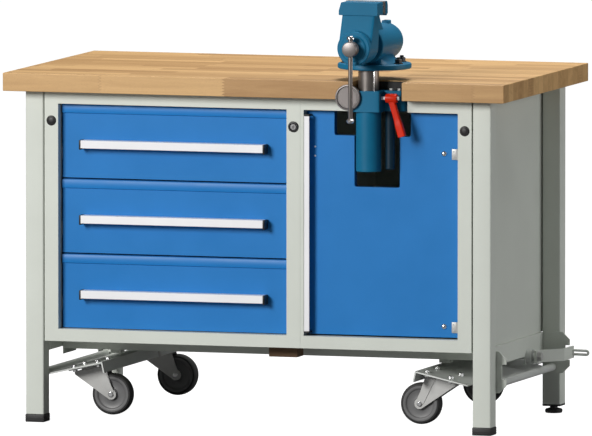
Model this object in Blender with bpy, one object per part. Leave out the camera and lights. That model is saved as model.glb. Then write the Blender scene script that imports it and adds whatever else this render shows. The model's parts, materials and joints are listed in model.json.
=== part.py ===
"""Workbench with three drawers, a cupboard, a vice on a lift and lowering castors.

Metres, +Z up, the front faces -Y. The origin is on the floor, under the middle of the whole object.
"""

from math import atan2, cos, pi, radians, sin

import bmesh
import bpy
from mathutils import Matrix, Vector

# Driving sizes. Everything that fits to them is worked out below.
gap = 0.0003  # between pieces that touch
sheet = 0.002

drawer_cabinet_width = 0.640
door_cabinet_width = 0.426
cabinet_height = 0.600
cabinet_to_leg = 0.003
cabinet_back_margin = 0.062  # worktop's back edge to the cabinets' back
stile = 0.034
hinge_free_stile = 0.0084  # the narrow stile beside the door's handle
rail = 0.030
frame_deep = 0.030

bench_depth = 0.703
top_thickness = 0.044
leg_side = 0.045
leg_wall = 0.002
leg_inset = 0.044  # worktop's end to the outer face of a leg
front_setback = 0.041  # worktop's front edge to the legs and cabinets
back_setback = 0.042
floor_to_cabinet = 0.196
foot_cap_height = 0.019
back_foot_height = 0.021
foot_pad_radius = 0.0205

drawer_count = 3
front_recess = 0.024
front_thick = 0.020
front_gap = 0.0035
band_height = 0.021
band_proud = 0.004
drawer_travel = 0.450
drawer_handle_length = 0.455
door_handle_margin = 0.007
handle_cap = 0.005
handle_wall = 0.0028
handle_face = 0.019
lock_height = 0.529  # above the cabinets' floor

ram_from_cabinet = 0.174  # door cabinet's left side to the axis of the lift
ram_behind_front = 0.030
ram_radius = 0.025
lift_tube_radius = 0.030
lift_tube_bottom = 0.625
lift_block_height = 0.050
lift_block_below_top = 0.022
ram_length = 0.225
vice_foot_thick = 0.013
vice_foot_radius = 0.088
vice_above_top = 0.027
spindle_above_foot = 0.059  # from the underside of the round foot
spindle_reach = 0.128  # spindle's head in front of the worktop
jaw_half_width = 0.048
jaw_height = 0.153  # above the round foot
tommy_radius = 0.006
tommy_length = 0.207

carriage_tilt = radians(12.8)
carriage_sheet = 0.0035
carriage_reach = 0.1767  # rod's axis to the inner edge
rod_radius = 0.006
rod_height = 0.113
rod_from_leg = 0.028  # inner face of a leg to the rod's axis
wheel_radius = 0.050
wheel_width = 0.032
castor_trail = 0.038
castor_drop = 0.0785  # sheet to the wheel's axle
castor_from_edge = 0.0517  # a castor's swivel to the carriage's inner edge
castor_inset = 0.078  # legs' outer end faces to a castor's swivel

lever_before_leg = 0.131
lever_height = 0.149
lever_shaft_radius = 0.008
lever_arm_height = 0.029
lever_overhang = 0.022  # how far the lever's loop passes the worktop's end

# Places worked out from the sizes
castor_from_rod = carriage_reach - castor_from_edge
bench_width = drawer_cabinet_width + door_cabinet_width + 2 * (cabinet_to_leg + leg_side + leg_inset)
bench_height = floor_to_cabinet + cabinet_height + top_thickness
top_under = bench_height - top_thickness
mid = -lever_overhang / 2
left_end = mid - bench_width / 2
right_end = mid + bench_width / 2
front = (spindle_reach - bench_depth) / 2
back = front + bench_depth
cabinet_front = front + front_setback
cabinet_back = back - cabinet_back_margin
cabinet_left = left_end + leg_inset + leg_side + cabinet_to_leg
seam = cabinet_left + drawer_cabinet_width
cabinet_right = seam + door_cabinet_width
leg_inner = bench_width / 2 - leg_inset - leg_side  # from the middle of the bench
front_leg_back = cabinet_front + leg_side
back_leg_front = back - back_setback - leg_side
back_leg_back = back - back_setback
panel_face = cabinet_front + front_recess
opening_bottom = floor_to_cabinet + rail
opening_top = top_under - rail
ram_x = seam + ram_from_cabinet
ram_y = front + ram_behind_front
rod_x = leg_inner + rod_from_leg
lever_y = back_leg_front - lever_before_leg
foot_z = bench_height + vice_above_top
spindle_z = foot_z + spindle_above_foot


def paint(name, colour, roughness, metallic=0.0):
    found = bpy.data.materials.get(name)
    if found:
        return found
    made = bpy.data.materials.new(name)
    made.use_nodes = True
    shader = made.node_tree.nodes["Principled BSDF"]
    shader.inputs["Base Color"].default_value = (*colour, 1)
    shader.inputs["Roughness"].default_value = roughness
    shader.inputs["Metallic"].default_value = metallic
    return made


def beech():
    return paint("beech", (0.62, 0.38, 0.17), 0.5)


def light_grey():
    return paint("light_grey_paint", (0.62, 0.65, 0.60), 0.45)


def blue():
    return paint("blue_paint", (0.035, 0.19, 0.52), 0.4)


def petrol():
    return paint("petrol_paint", (0.02, 0.12, 0.22), 0.4)


def steel():
    return paint("steel", (0.35, 0.34, 0.33), 0.35, 1.0)


def zinc():
    return paint("zinc_plate", (0.5, 0.5, 0.48), 0.4, 1.0)


def aluminium():
    return paint("aluminium", (0.85, 0.86, 0.88), 0.3, 1.0)


def black_plastic():
    return paint("black_plastic", (0.015, 0.015, 0.016), 0.5)


def grey_plastic():
    return paint("grey_plastic", (0.16, 0.16, 0.165), 0.5)


def red_plastic():
    return paint("red_plastic", (0.7, 0.04, 0.015), 0.4)


def box(low, high, bevel=0.0, along=None):
    """A box between two corners. Its edges along one axis, or all of them, may be rounded."""
    shape = bmesh.new()
    bmesh.ops.create_cube(shape, size=1)
    size = [b - a for a, b in zip(low, high)]
    middle = [(a + b) / 2 for a, b in zip(low, high)]
    bmesh.ops.scale(shape, vec=size, verts=shape.verts)
    bmesh.ops.translate(shape, vec=middle, verts=shape.verts)
    if bevel:
        edges = [
            e
            for e in shape.edges
            if along is None or abs((e.verts[0].co - e.verts[1].co)["xyz".index(along)]) > 1e-6
        ]
        bmesh.ops.bevel(shape, geom=edges, offset=bevel, segments=2, profile=0.5, affect="EDGES")
    return shape


def prism(outline, axis, start, end):
    """An outline of (a, b) points carried along an axis: (y, z) along x, (x, z) along y, (x, y) along z."""
    place = {
        "x": lambda a, b, t: (t, a, b),
        "y": lambda a, b, t: (a, t, b),
        "z": lambda a, b, t: (a, b, t),
    }[axis]
    shape = bmesh.new()
    ends = [[shape.verts.new(place(a, b, t)) for a, b in outline] for t in (start, end)]
    count = len(outline)
    for i in range(count):
        j = (i + 1) % count
        shape.faces.new((ends[0][i], ends[0][j], ends[1][j], ends[1][i]))
    shape.faces.new(ends[0])
    shape.faces.new(reversed(ends[1]))
    bmesh.ops.recalc_face_normals(shape, faces=shape.faces)
    return shape


def turned(profile, axis, centre, steps=32, ring=False):
    """A profile of (radius, place along the axis) spun round. A ring's profile closes on itself."""
    shape = bmesh.new()
    rows = []
    for radius, along in profile:
        count = steps if radius > 0 else 1
        row = []
        for k in range(count):
            turn = 2 * pi * k / steps
            u, v = radius * cos(turn), radius * sin(turn)
            point = {"x": (along, u, v), "y": (v, along, u), "z": (u, v, along)}[axis]
            row.append(shape.verts.new([p + c for p, c in zip(point, centre)]))
        rows.append(row)
    pairs = list(zip(rows, rows[1:])) + ([(rows[-1], rows[0])] if ring else [])
    for first, second in pairs:
        for k in range(steps):
            n = (k + 1) % steps
            corners = [first[k % len(first)], first[n % len(first)]]
            corners += [second[n % len(second)], second[k % len(second)]]
            kept = list(dict.fromkeys(corners))
            if len(kept) > 2:
                shape.faces.new(kept)
    bmesh.ops.recalc_face_normals(shape, faces=shape.faces)
    return shape


def rod(axis, centre, radius, start, end, steps=24):
    """A plain round bar along an axis, from start to end past the centre."""
    return turned([(0, start), (radius, start), (radius, end), (0, end)], axis, centre, steps)


def rounded(low, high, radius, steps=5):
    """The outline of a rectangle whose corners are arcs."""
    points = []
    corners = ((high, high, 0), (low, high, 1), (low, low, 2), (high, low, 3))
    for at_a, at_b, quarter in corners:
        a = at_a[0] - radius if at_a is high else at_a[0] + radius
        b = at_b[1] - radius if at_b is high else at_b[1] + radius
        for k in range(steps + 1):
            turn = (quarter + k / steps) * pi / 2
            points.append((a + radius * cos(turn), b + radius * sin(turn)))
    return points


def rounded_bar(start, end, radius, steps=8):
    """The outline round two points, a given distance from the line between them."""
    lean = atan2(end[1] - start[1], end[0] - start[0])
    points = []
    for centre, first in ((end, -pi / 2), (start, pi / 2)):
        for k in range(steps + 1):
            turn = lean + first + pi * k / steps
            points.append((centre[0] + radius * cos(turn), centre[1] + radius * sin(turn)))
    return points


def node(name, shape, finish, pivot=(0, 0, 0), parent=None):
    """The named object of a shape, with its origin on the pivot that it turns or slides on."""
    bmesh.ops.translate(shape, vec=[-p for p in pivot], verts=shape.verts)
    mesh = bpy.data.meshes.new(name)
    shape.to_mesh(mesh)
    shape.free()
    made = bpy.data.objects.new(name, mesh)
    bpy.context.scene.collection.objects.link(made)
    made.location = pivot
    made.parent = parent
    if finish:
        mesh.materials.append(finish)
        mesh.shade_smooth()
        mesh.set_sharp_from_angle(angle=radians(35))
    return made


def combine(target, shapes, operation):
    """Joins shapes to a node or cuts them from it. They are in the node's parent's space."""
    for shape in shapes:
        number = len(target.modifiers)
        helper = node(f"{target.name}_{operation.lower()}_{number}", shape, None, parent=target.parent)
        helper.hide_render = True
        helper.display_type = "WIRE"
        step = target.modifiers.new(f"{operation.lower()}_{number}", "BOOLEAN")
        step.operation = operation
        step.object = helper
        step.solver = "EXACT"


def join(target, *shapes):
    combine(target, shapes, "UNION")


def cut(target, *shapes):
    combine(target, shapes, "DIFFERENCE")


def pivot_empty(name, place, turn=0.0):
    made = bpy.data.objects.new(name, None)
    bpy.context.scene.collection.objects.link(made)
    made.location = place
    made.rotation_euler = (0, turn, 0)
    return made


def lift_notch():
    """(low x, high x, back y) of the cut-out in the worktop's front edge, round the lift."""
    return ram_x - lift_tube_radius - 0.001, ram_x + 0.091, ram_y + 0.036


def make_worktop():
    top = node(
        "worktop",
        box((left_end, front, top_under + gap), (right_end, back, bench_height), 0.0015),
        beech(),
    )
    low, high, deep = lift_notch()
    cut(top, box((low, front - 0.02, top_under - 0.02), (high, deep, bench_height + 0.02)))


def make_legs():
    feet = {"front": foot_cap_height, "back": back_foot_height}
    for side, sign in (("left", -1), ("right", 1)):
        inner = mid + sign * leg_inner
        outer = inner + sign * leg_side
        for end, y0 in (("front", cabinet_front), ("back", back_leg_front)):
            low = (min(inner, outer), y0, feet[end] + gap)
            high = (max(inner, outer), y0 + leg_side, top_under)
            leg = node(f"leg_{end}_{side}", box(low, high, 0.003, "z"), light_grey())
            cut(
                leg,
                box(
                    (low[0] + leg_wall, low[1] + leg_wall, low[2] - 0.01),
                    (high[0] - leg_wall, high[1] - leg_wall, high[2] + 0.01),
                ),
            )
            make_foot(end, side, (low[0] + high[0]) / 2, y0 + leg_side / 2)


def make_foot(end, side, x, y):
    """A plain cap on a front leg. A cap with a screwed levelling pad on a back leg."""
    plug = leg_side / 2 - leg_wall - gap
    if end == "front":
        half = leg_side / 2 + 0.001
        shape = box((x - half, y - half, 0), (x + half, y + half, foot_cap_height), 0.001)
        cap = node(f"foot_cap_{end}_{side}", shape, black_plastic())
        tongue = (foot_cap_height - 0.002, foot_cap_height + 0.020)
        join(cap, box((x - plug, y - plug, tongue[0]), (x + plug, y + plug, tongue[1])))
        return
    half = leg_side / 2
    cap_low = back_foot_height - 0.004
    shape = box((x - half, y - half, cap_low), (x + half, y + half, back_foot_height))
    cap = node(f"foot_cap_{end}_{side}", shape, black_plastic())
    tongue = (back_foot_height - 0.002, back_foot_height + 0.020)
    join(cap, box((x - plug, y - plug, tongue[0]), (x + plug, y + plug, tongue[1])))
    stem = 0.006
    cut(cap, rod("z", (x, y, 0), stem + gap, 0, back_foot_height + 0.05))
    profile = [
        (0, 0),
        (foot_pad_radius - 0.001, 0),
        (foot_pad_radius, 0.001),
        (foot_pad_radius, 0.009),
        (foot_pad_radius - 0.004, 0.010),
        (0.012, 0.012),
        (0.012, cap_low - gap),
        (stem, cap_low - gap),
        (stem, back_foot_height + 0.030),
        (0, back_foot_height + 0.030),
    ]
    node(f"levelling_foot_{side}", turned(profile, "z", (x, y, 0), 20), black_plastic(), (x, y, 0))


def cabinet_shell(name, left, right, left_stile, right_stile):
    """A sheet box with a folded frame round its front opening."""
    block = box((left, cabinet_front, floor_to_cabinet + gap), (right, cabinet_back, top_under))
    shell = node(name, block, light_grey())
    inside_y = cabinet_front + frame_deep
    cut(
        shell,
        box(
            (left + left_stile, cabinet_front - 0.01, opening_bottom),
            (right - right_stile, inside_y + 0.001, opening_top),
        ),
        box(
            (left + sheet, inside_y, floor_to_cabinet + sheet),
            (right - sheet, cabinet_back - sheet, top_under - sheet),
        ),
    )
    return shell


def plug_hole(x):
    return rod("y", (x, cabinet_front, floor_to_cabinet + lock_height), 0.0103, -0.01, frame_deep + 0.01)


def make_drawer_cabinet():
    right = seam - gap / 2
    shell = cabinet_shell("drawer_cabinet", cabinet_left, right, stile, stile)
    pitch = (opening_top - opening_bottom) / drawer_count
    y0, y1 = cabinet_front + frame_deep - 0.001, cabinet_back - sheet + 0.001
    left_runner = (cabinet_left + sheet / 2, cabinet_left + stile + 0.001)
    right_runner = (right - stile - 0.001, right - sheet / 2)
    for k in range(drawer_count):
        z = opening_bottom + k * pitch + 0.045
        join(shell, *[box((x0, y0, z), (x1, y1, z + 0.030)) for x0, x1 in (left_runner, right_runner)])
    cut(shell, plug_hole(cabinet_left + stile / 2), plug_hole(seam - stile / 2))
    make_plug("cover_plug_left", cabinet_left + stile / 2)
    make_lock()
    for k in range(drawer_count):
        make_drawer(k + 1, opening_bottom + k * pitch, pitch)


def make_plug(name, x):
    """A domed black cover plug pressed in a stile."""
    y = cabinet_front
    dome = [(0, -0.003), (0.006, -0.0027), (0.0105, -0.0015), (0.01225, -gap)]
    barrel = [(0.010, -gap), (0.010, 0.020), (0, 0.020)]
    node(name, turned(dome + barrel, "y", (x, y, floor_to_cabinet + lock_height), 24), black_plastic())


def make_lock():
    """The cylinder that locks the drawers: a ring, a keyed face and a barrel with its tongue."""
    x, y, z = seam - stile / 2, cabinet_front, floor_to_cabinet + lock_height
    ring = [(0, -0.004), (0.011, -0.004), (0.013, -0.002), (0.013, -gap)]
    barrel = [(0.010, -gap), (0.010, 0.034), (0, 0.034)]
    lock = node("drawer_lock", turned(ring + barrel, "y", (x, y, z), 24), steel(), (x, y, z))
    cut(lock, box((x - 0.0012, y - 0.008, z - 0.0045), (x + 0.0012, y + 0.004, z + 0.0045)))


def make_drawer(number, low, pitch):
    """A front with its folded band, a handle, and the tray with its slides."""
    left = cabinet_left + stile + front_gap
    right = seam - stile - front_gap
    z0, z1 = low + front_gap / 2, low + pitch - front_gap / 2
    y0, y1 = panel_face, panel_face + front_thick
    lip = y0 - band_proud
    outline = [
        (y0, z0),
        (y0, z1 - band_height),
        (lip, z1 - band_height),
        (lip, z1 - 0.003),
        (lip + 0.003, z1),
        (y1, z1),
        (y1, z0),
    ]
    panel = node(f"drawer_front_{number}", prism(outline, "x", left, right), blue())
    cut(panel, box((left + sheet, y0 + sheet, z0 + sheet), (right - sheet, y1 + 0.01, z1 - sheet)))
    middle = (left + right) / 2
    centre_z = (z0 + z1) / 2
    make_bar_handle(f"drawer_handle_{number}", (middle, cabinet_front - 0.006, centre_z))
    make_tray(number, left + 0.003, right - 0.003, y1 + gap, z0)


def make_bar_handle(name, centre):
    """A folded aluminium grip, open below, with a cap at each end."""
    x, y, z = centre
    half, half_face = drawer_handle_length / 2, handle_face / 2
    reach = panel_face - gap
    outline = [
        (y, z - half_face),
        (y + handle_wall, z - half_face),
        (y + handle_wall, z + half_face - handle_wall),
        (reach, z + half_face - handle_wall),
        (reach, z + half_face),
        (y, z + half_face),
    ]
    bar = node(name, prism(outline, "x", x - half, x + half), aluminium())
    for start, end in ((x - half - handle_cap, x - half + 0.001), (x + half - 0.001, x + half + handle_cap)):
        join(bar, box((start, y, z - half_face - 0.0006), (end, reach, z + half_face + 0.0006)))


def make_tray(number, left, right, y, low):
    """An open sheet tray with a slide along each side."""
    rail_thick = 0.008
    z0, z1 = low + 0.012, low + 0.142
    deep = cabinet_back - sheet - 0.022
    x0, x1 = left + rail_thick, right - rail_thick
    tray = node(f"drawer_tray_{number}", box((x0, y, z0), (x1, deep, z1)), light_grey())
    cut(tray, box((x0 + sheet, y + sheet, z0 + sheet), (x1 - sheet, deep - sheet, z1 + 0.01)))
    for x0, x1 in ((left, x0 + sheet / 2), (x1 - sheet / 2, right)):
        join(tray, box((x0, y + 0.004, z0 + 0.030), (x1, deep - 0.004, z0 + 0.060)))


def rail_cut():
    """(low x, high x) of the stretch of the cupboard's top that is left out round the lift."""
    return ram_x - 0.049, ram_x + 0.093


def make_door_cabinet():
    left = seam + gap / 2
    shell = cabinet_shell("door_cabinet", left, cabinet_right, hinge_free_stile, stile)
    low, high = rail_cut()
    cut(
        shell,
        box((low, cabinet_front - 0.01, opening_top - 0.01), (high, cabinet_front + 0.16, top_under + 0.01)),
        plug_hole(cabinet_right - stile / 2),
    )
    for z in hinge_heights():
        join(shell, *hinge_pin(z))
    make_plug("cover_plug_right", cabinet_right - stile / 2)
    y0, y1 = panel_face + front_thick + 0.02, cabinet_back - sheet - gap
    z = floor_to_cabinet + 0.180
    x0, x1 = left + sheet + gap, cabinet_right - sheet - gap
    shelf = node("cupboard_shelf", box((x0, y0, z), (x1, y1, z + 0.020)), light_grey())
    x0, x1 = left + 0.008, cabinet_right - 0.008
    cut(shelf, box((x0, y0 + sheet, z - 0.01), (x1, y1 - sheet, z + 0.020 - sheet)))


def door_axis():
    """The (x, y) of the door's upright hinge axis."""
    return cabinet_right - stile - front_gap, panel_face - 0.0035


def hinge_heights():
    return floor_to_cabinet + 0.058, floor_to_cabinet + 0.471


def hinge_pin(z):
    """A pin held above and below by two small ears on the stile."""
    x, y = door_axis()
    half = 0.013
    ears = [
        box((x - 0.0015, y - 0.0015, low), (cabinet_right - stile + 0.004, y + 0.0015, low + 0.003))
        for low in (z - half - 0.003 - gap, z + half + gap)
    ]
    return [ears[0], ears[1], rod("z", (x, y, z), 0.0011, -half - 0.002, half + 0.002, 10)]


def make_door():
    """The cupboard's door, cut out round the lift so that it can swing past it."""
    x, y = door_axis()
    left = seam + hinge_free_stile + front_gap - 0.0014
    low, high = opening_bottom + front_gap, opening_top - front_gap
    pivot = (x, y, (low + high) / 2)
    panel = box((left, panel_face, low), (x, panel_face + front_thick, high), 0.001)
    door = node("cupboard_door", panel, blue(), pivot)
    shoulder = high - 0.057
    wide = rounded((ram_x - 0.096, shoulder), (ram_x + 0.094, high + 0.03), 0.007)
    slot = rounded((ram_x - 0.046, high - 0.179), (ram_x + 0.0667, shoulder + 0.02), 0.007)
    cut(door, *[prism(outline, "y", panel_face - 0.01, panel_face + 0.03) for outline in (wide, slot)])
    # The panel is a folded sheet, open at the back, with a flange round its edge and round the cut-out.
    left_edges = (left + sheet, ram_x - 0.046 - sheet, ram_x - 0.096 - sheet)
    right_edges = (x - sheet, ram_x + 0.0667 + sheet, ram_x + 0.094 + sheet)
    inside_y = (panel_face + sheet, panel_face + front_thick + 0.01)
    for outer, beside_slot, beside_wide in (left_edges, right_edges):
        for inner, top in ((beside_slot, shoulder - sheet), (beside_wide, high - sheet)):
            x0, x1 = sorted((outer, inner))
            cut(door, box((x0, inside_y[0], low + sheet), (x1, inside_y[1], top)))
    below_slot = high - 0.179 - sheet
    cut(door, box((left + sheet, inside_y[0], low + sheet), (x - sheet, inside_y[1], below_slot)))
    for name, z in zip(("hinge_leaf_lower", "hinge_leaf_upper"), hinge_heights()):
        make_hinge_leaf(name, z, pivot)
    make_door_handle(left, low, high, pivot)


def make_hinge_leaf(name, z, pivot):
    x, y = door_axis()
    half = 0.013
    plate = box((x - 0.0145, y + 0.0012, z - half), (x, panel_face - gap, z + half))
    leaf = node(name, plate, zinc(), (pivot[0], pivot[1], z))
    join(leaf, rod("z", (x, y, z), 0.0028, -half, half, 16))
    cut(leaf, rod("z", (x, y, z), 0.0015, -half - 0.01, half + 0.01, 12))


def make_door_handle(left, low, high, pivot):
    """An upright grip along the door's free edge."""
    x0, x1 = left - 0.001, left + 0.012
    y0, y1 = cabinet_front, panel_face - gap
    z0, z1 = low + 0.003, high - door_handle_margin
    outline = [
        (x0, y0),
        (x1, y0),
        (x1, y0 + handle_wall),
        (x0 + handle_wall, y0 + handle_wall),
        (x0 + handle_wall, y1),
        (x0, y1),
    ]
    bar = node("door_handle", prism(outline, "z", z0 + handle_cap, z1 - handle_cap), aluminium(), pivot)
    for start, end in ((z0, z0 + handle_cap + 0.001), (z1 - handle_cap - 0.001, z1)):
        join(bar, box((x0, y0, start), (x1 + 0.0005, y1, end)))


def make_underframe():
    """Side beams between the legs, two channels across, and a block under the cabinets' joint."""
    beam_top = floor_to_cabinet
    bar_y = front_leg_back + 0.101
    bars = (("front", bar_y), ("back", lever_y + 0.030))
    bar_deep, bar_low = 0.096, floor_to_cabinet - 0.031
    for side, sign, drop in (("left", -1, 0.026), ("right", 1, 0.046)):
        web0 = mid + sign * leg_inner
        web1 = web0 + sign * 0.0025
        lip = web0 - sign * 0.030
        foot = web0 + sign * 0.034

        def span(a, b, y0, y1, z0, z1):
            return box((min(a, b), y0, z0), (max(a, b), y1, z1))

        y0, y1 = front_leg_back + gap, back_leg_front - gap
        beam = node(f"side_beam_{side}", span(web0, web1, y0, y1, beam_top - drop, beam_top), light_grey())
        join(
            beam,
            span(lip, web1, y0, y1, beam_top - 0.0025, beam_top),
            span(web0, foot, y1 - 0.0025, y1, beam_top - drop, beam_top),
            span(web0, foot, y0, y0 + 0.0025, beam_top - drop, beam_top),
            span(web0, web1, lever_y - 0.020, lever_y + 0.020, lever_height - 0.018, beam_top - drop + 0.002),
        )
        cut(beam, rod("x", (web0, lever_y, lever_height), lever_shaft_radius + gap, -0.02, 0.02))
    inner = leg_inner - gap
    for name, y in bars:
        bar = node(
            f"cross_beam_{name}",
            box((mid - inner, y, bar_low), (mid + inner, y + bar_deep, beam_top - 0.0025 - gap)),
            light_grey(),
        )
        hollow = box(
            (mid - inner - 0.01, y + 0.003, bar_low + 0.003),
            (mid + inner + 0.01, y + bar_deep - 0.003, beam_top),
        )
        cut(bar, hollow)
        for sign in (-1, 1):
            end = mid + sign * inner
            edge = end - sign * 0.003
            x0, x1 = sorted((end, edge))
            join(bar, box((x0, y, bar_low - 0.013), (x1, y + bar_deep, beam_top - 0.004)))
            if name == "front":
                x = mid + sign * 0.412
                join(bar, box((x - 0.013, y + 0.030, bar_low - 0.011), (x + 0.013, y + 0.060, bar_low + 0.002)))
    x, y = seam - 0.061, cabinet_front + 0.059
    block = box((x - 0.036, y, floor_to_cabinet - 0.028), (x + 0.036, y + 0.048, floor_to_cabinet), 0.0015)
    node("support_block", block, paint("brown_wood", (0.16, 0.09, 0.05), 0.7))


def make_lever_brackets():
    """Two notched plates that guard the lever, one on each right leg."""
    inner, outer = leg_inner + 0.010, leg_inner + 0.070
    low, high, corner = 0.098, floor_to_cabinet + 0.002, 0.018
    notch_low, notch_high, notch_x = 0.131, 0.166, outer - 0.011
    thick = 0.005
    outline = [
        (inner, low),
        (outer - corner, low),
        (outer, low + corner),
        (outer, notch_low),
        (notch_x, notch_low),
        (notch_x, notch_high),
        (outer, notch_high),
        (outer, high - corner),
        (outer - corner, high),
        (inner, high),
    ]
    outline = [(mid + a, b) for a, b in outline]
    clear = leg_inner + 0.034 + gap
    for name, y in (("front", front_leg_back + gap), ("back", back_leg_front - gap - thick)):
        plate = node(f"lever_bracket_{name}", prism(outline, "y", y, y + thick), light_grey())
        beam_low = floor_to_cabinet - 0.046 - gap
        cut(
            plate,
            rod("y", (mid + rod_x, y, rod_height), rod_radius + gap, -0.01, 0.02),
            box((mid + inner - 0.01, y - 0.01, beam_low), (mid + clear, y + 0.02, high + 0.01)),
        )


def make_carriages():
    """A tilting sheet on each side, hung on a rod, with two castors."""
    for side, sign in (("left", -1), ("right", 1)):
        x = mid + sign * rod_x
        rod_y = (front_leg_back + 2 * gap, back_leg_front - 2 * gap)
        node(f"hinge_rod_{side}", rod("y", (x, 0, rod_height), rod_radius, *rod_y), steel())
        frame = pivot_empty(f"carriage_{side}_pivot", (x, 0, rod_height), sign * carriage_tilt)
        make_carriage(side, -sign, frame)
        reach = castor_inset
        for end, y in (("front", cabinet_front + reach), ("back", back_leg_back - reach + 0.043)):
            make_castor(f"{end}_{side}", -sign, y, frame)


def make_carriage(side, inward, frame):
    """The sheet, its rolled hinge, the lip on its inner edge and two castor plates. x runs from the rod."""
    edge, top = carriage_reach, -0.0033
    low = top - carriage_sheet
    beside_leg = rod_from_leg + 0.014
    y0, y1 = cabinet_front + 0.005, back_leg_back + 0.029
    hinge_y0, hinge_y1 = front_leg_back + 0.007, back_leg_front - 0.007
    outline = [
        (0, hinge_y0),
        (beside_leg, hinge_y0),
        (beside_leg, y0),
        (edge, y0),
        (edge, y1),
        (beside_leg, y1),
        (beside_leg, hinge_y1),
        (0, hinge_y1),
    ]
    sheet_shape = prism([(inward * a, b) for a, b in outline], "z", low, top)
    plate = node(f"carriage_{side}", sheet_shape, zinc(), parent=frame)

    def span(a, b, y_from, y_to, z_from, z_to):
        return box((min(inward * a, inward * b), y_from, z_from), (max(inward * a, inward * b), y_to, z_to))

    castor_ys = (cabinet_front + castor_inset, back_leg_back - castor_inset + 0.043)
    join(plate, rod("y", (0, 0, 0), rod_radius + 0.003, hinge_y0, hinge_y1, 20))
    join(plate, span(edge - 0.0035, edge, y0, y1, low - 0.023, top - 0.001))
    x0, x1 = castor_from_rod - 0.0425, castor_from_rod + 0.0425
    for y in castor_ys:
        join(plate, span(x0, x1, y - 0.0525, y + 0.0525, low - 0.003, low + 0.001))
    cut(
        plate,
        rod("y", (0, 0, 0), rod_radius + gap, hinge_y0 - 0.01, hinge_y1 + 0.01, 20),
        span(castor_from_rod - 0.003, edge + 0.02, lever_y - 0.014, lever_y + 0.014, low - 0.04, top + 0.02),
    )


def make_castor(place, inward, y, frame):
    """A swivelling fork and its wheel, below the carriage's sheet."""
    plate_low = -0.0033 - carriage_sheet - 0.003
    axle_z = -0.0033 - carriage_sheet - castor_drop
    swivel = (inward * castor_from_rod, y, plate_low)
    axle = (inward * (castor_from_rod + castor_trail), y, axle_z)
    half = wheel_width / 2 + 0.001
    crown = plate_low - 0.004
    head = [
        (0, plate_low - gap),
        (0.024, plate_low - gap),
        (0.026, plate_low - 0.003),
        (0.024, crown - 0.003),
        (0, crown - 0.003),
    ]
    fork = node(f"castor_fork_{place}", turned(head, "z", (swivel[0], y, 0), 24), zinc(), swivel, frame)
    x = castor_from_rod
    turns = [k * pi / 6 - 2 * pi / 3 for k in range(6)]
    boss = [(x + castor_trail + 0.013 * cos(t), axle_z + 0.013 * sin(t)) for t in turns]
    cheek = [(x - 0.040, crown - 0.010), (x - 0.040, crown), (x + 0.036, crown), (x + 0.040, crown - 0.008)]
    cheek = [(inward * a, b) for a, b in cheek + boss[::-1]]
    for start in (y - half - 0.0025, y + half):
        join(fork, prism(cheek, "y", start, start + 0.0025))
    low_x, high_x = sorted((inward * (x - 0.038), inward * (x + 0.035)))
    join(fork, box((low_x, y - half - 0.001, crown - 0.003), (high_x, y + half + 0.001, crown)))
    join(fork, rod("y", axle, 0.006, -half - 0.0065, half + 0.0065, 16))
    r, w = wheel_radius, wheel_width / 2
    profile = [
        (0.006 + gap, -w),
        (0.014, -w),
        (0.016, -w + 0.005),
        (0.034, -w + 0.005),
        (0.037, -w + 0.001),
        (r - 0.006, -w),
        (r - 0.001, -w + 0.005),
        (r, -w + 0.010),
    ]
    profile += [(radius, -along) for radius, along in reversed(profile)]
    node(f"castor_wheel_{place}", turned(profile, "y", axle, 24, ring=True), grey_plastic(), axle, frame)


def make_lever():
    """The shaft across the bench with a cam over each carriage, and the lever that turns it."""
    pivot = (mid, lever_y, lever_height)
    arm_x = right_end - 0.016
    boss_x = mid + leg_inner + 0.0025 + gap
    inboard = boss_x + 0.020
    start, end = mid - leg_inner - 0.005, inboard + 0.009
    bar = rod("x", (0, lever_y, lever_height), lever_shaft_radius, start, end)
    shaft = node("lever_shaft", bar, steel(), pivot)
    join(shaft, rod("x", (boss_x, lever_y, lever_height), 0.0175, 0, 0.014, 28))
    cam_x = leg_inner - 0.056
    for sign in (-1, 1):
        x = mid + sign * cam_x
        outline = rounded_bar((lever_y, lever_height), (lever_y - 0.0252, lever_height), 0.012)
        join(shaft, prism(outline, "x", x - 0.006, x + 0.006))
    hub = rod("x", (inboard, lever_y, lever_height), 0.015, 0, 0.006, 24)
    arm = node("lever_arm", hub, light_grey(), pivot)
    half = lever_arm_height / 2
    # The arm leaves the boss inboard and bends outwards to pass the legs.
    y_bend, y_end = lever_y + 0.066, lever_y + 0.146
    plan = [
        (inboard, lever_y - 0.012),
        (inboard, lever_y + 0.012),
        (arm_x - 0.0025, y_bend),
        (arm_x - 0.0025, y_end),
        (arm_x + 0.0025, y_end),
        (arm_x + 0.0025, y_bend - 0.0015),
        (inboard + 0.005, lever_y + 0.0095),
        (inboard + 0.005, lever_y - 0.012),
    ]
    join(arm, prism(plan, "z", lever_height - half, lever_height + half))
    cut(arm, rod("x", (inboard, lever_y, lever_height), lever_shaft_radius + gap, -0.02, 0.02))
    make_lever_loop(arm, arm_x, y_end)


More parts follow.
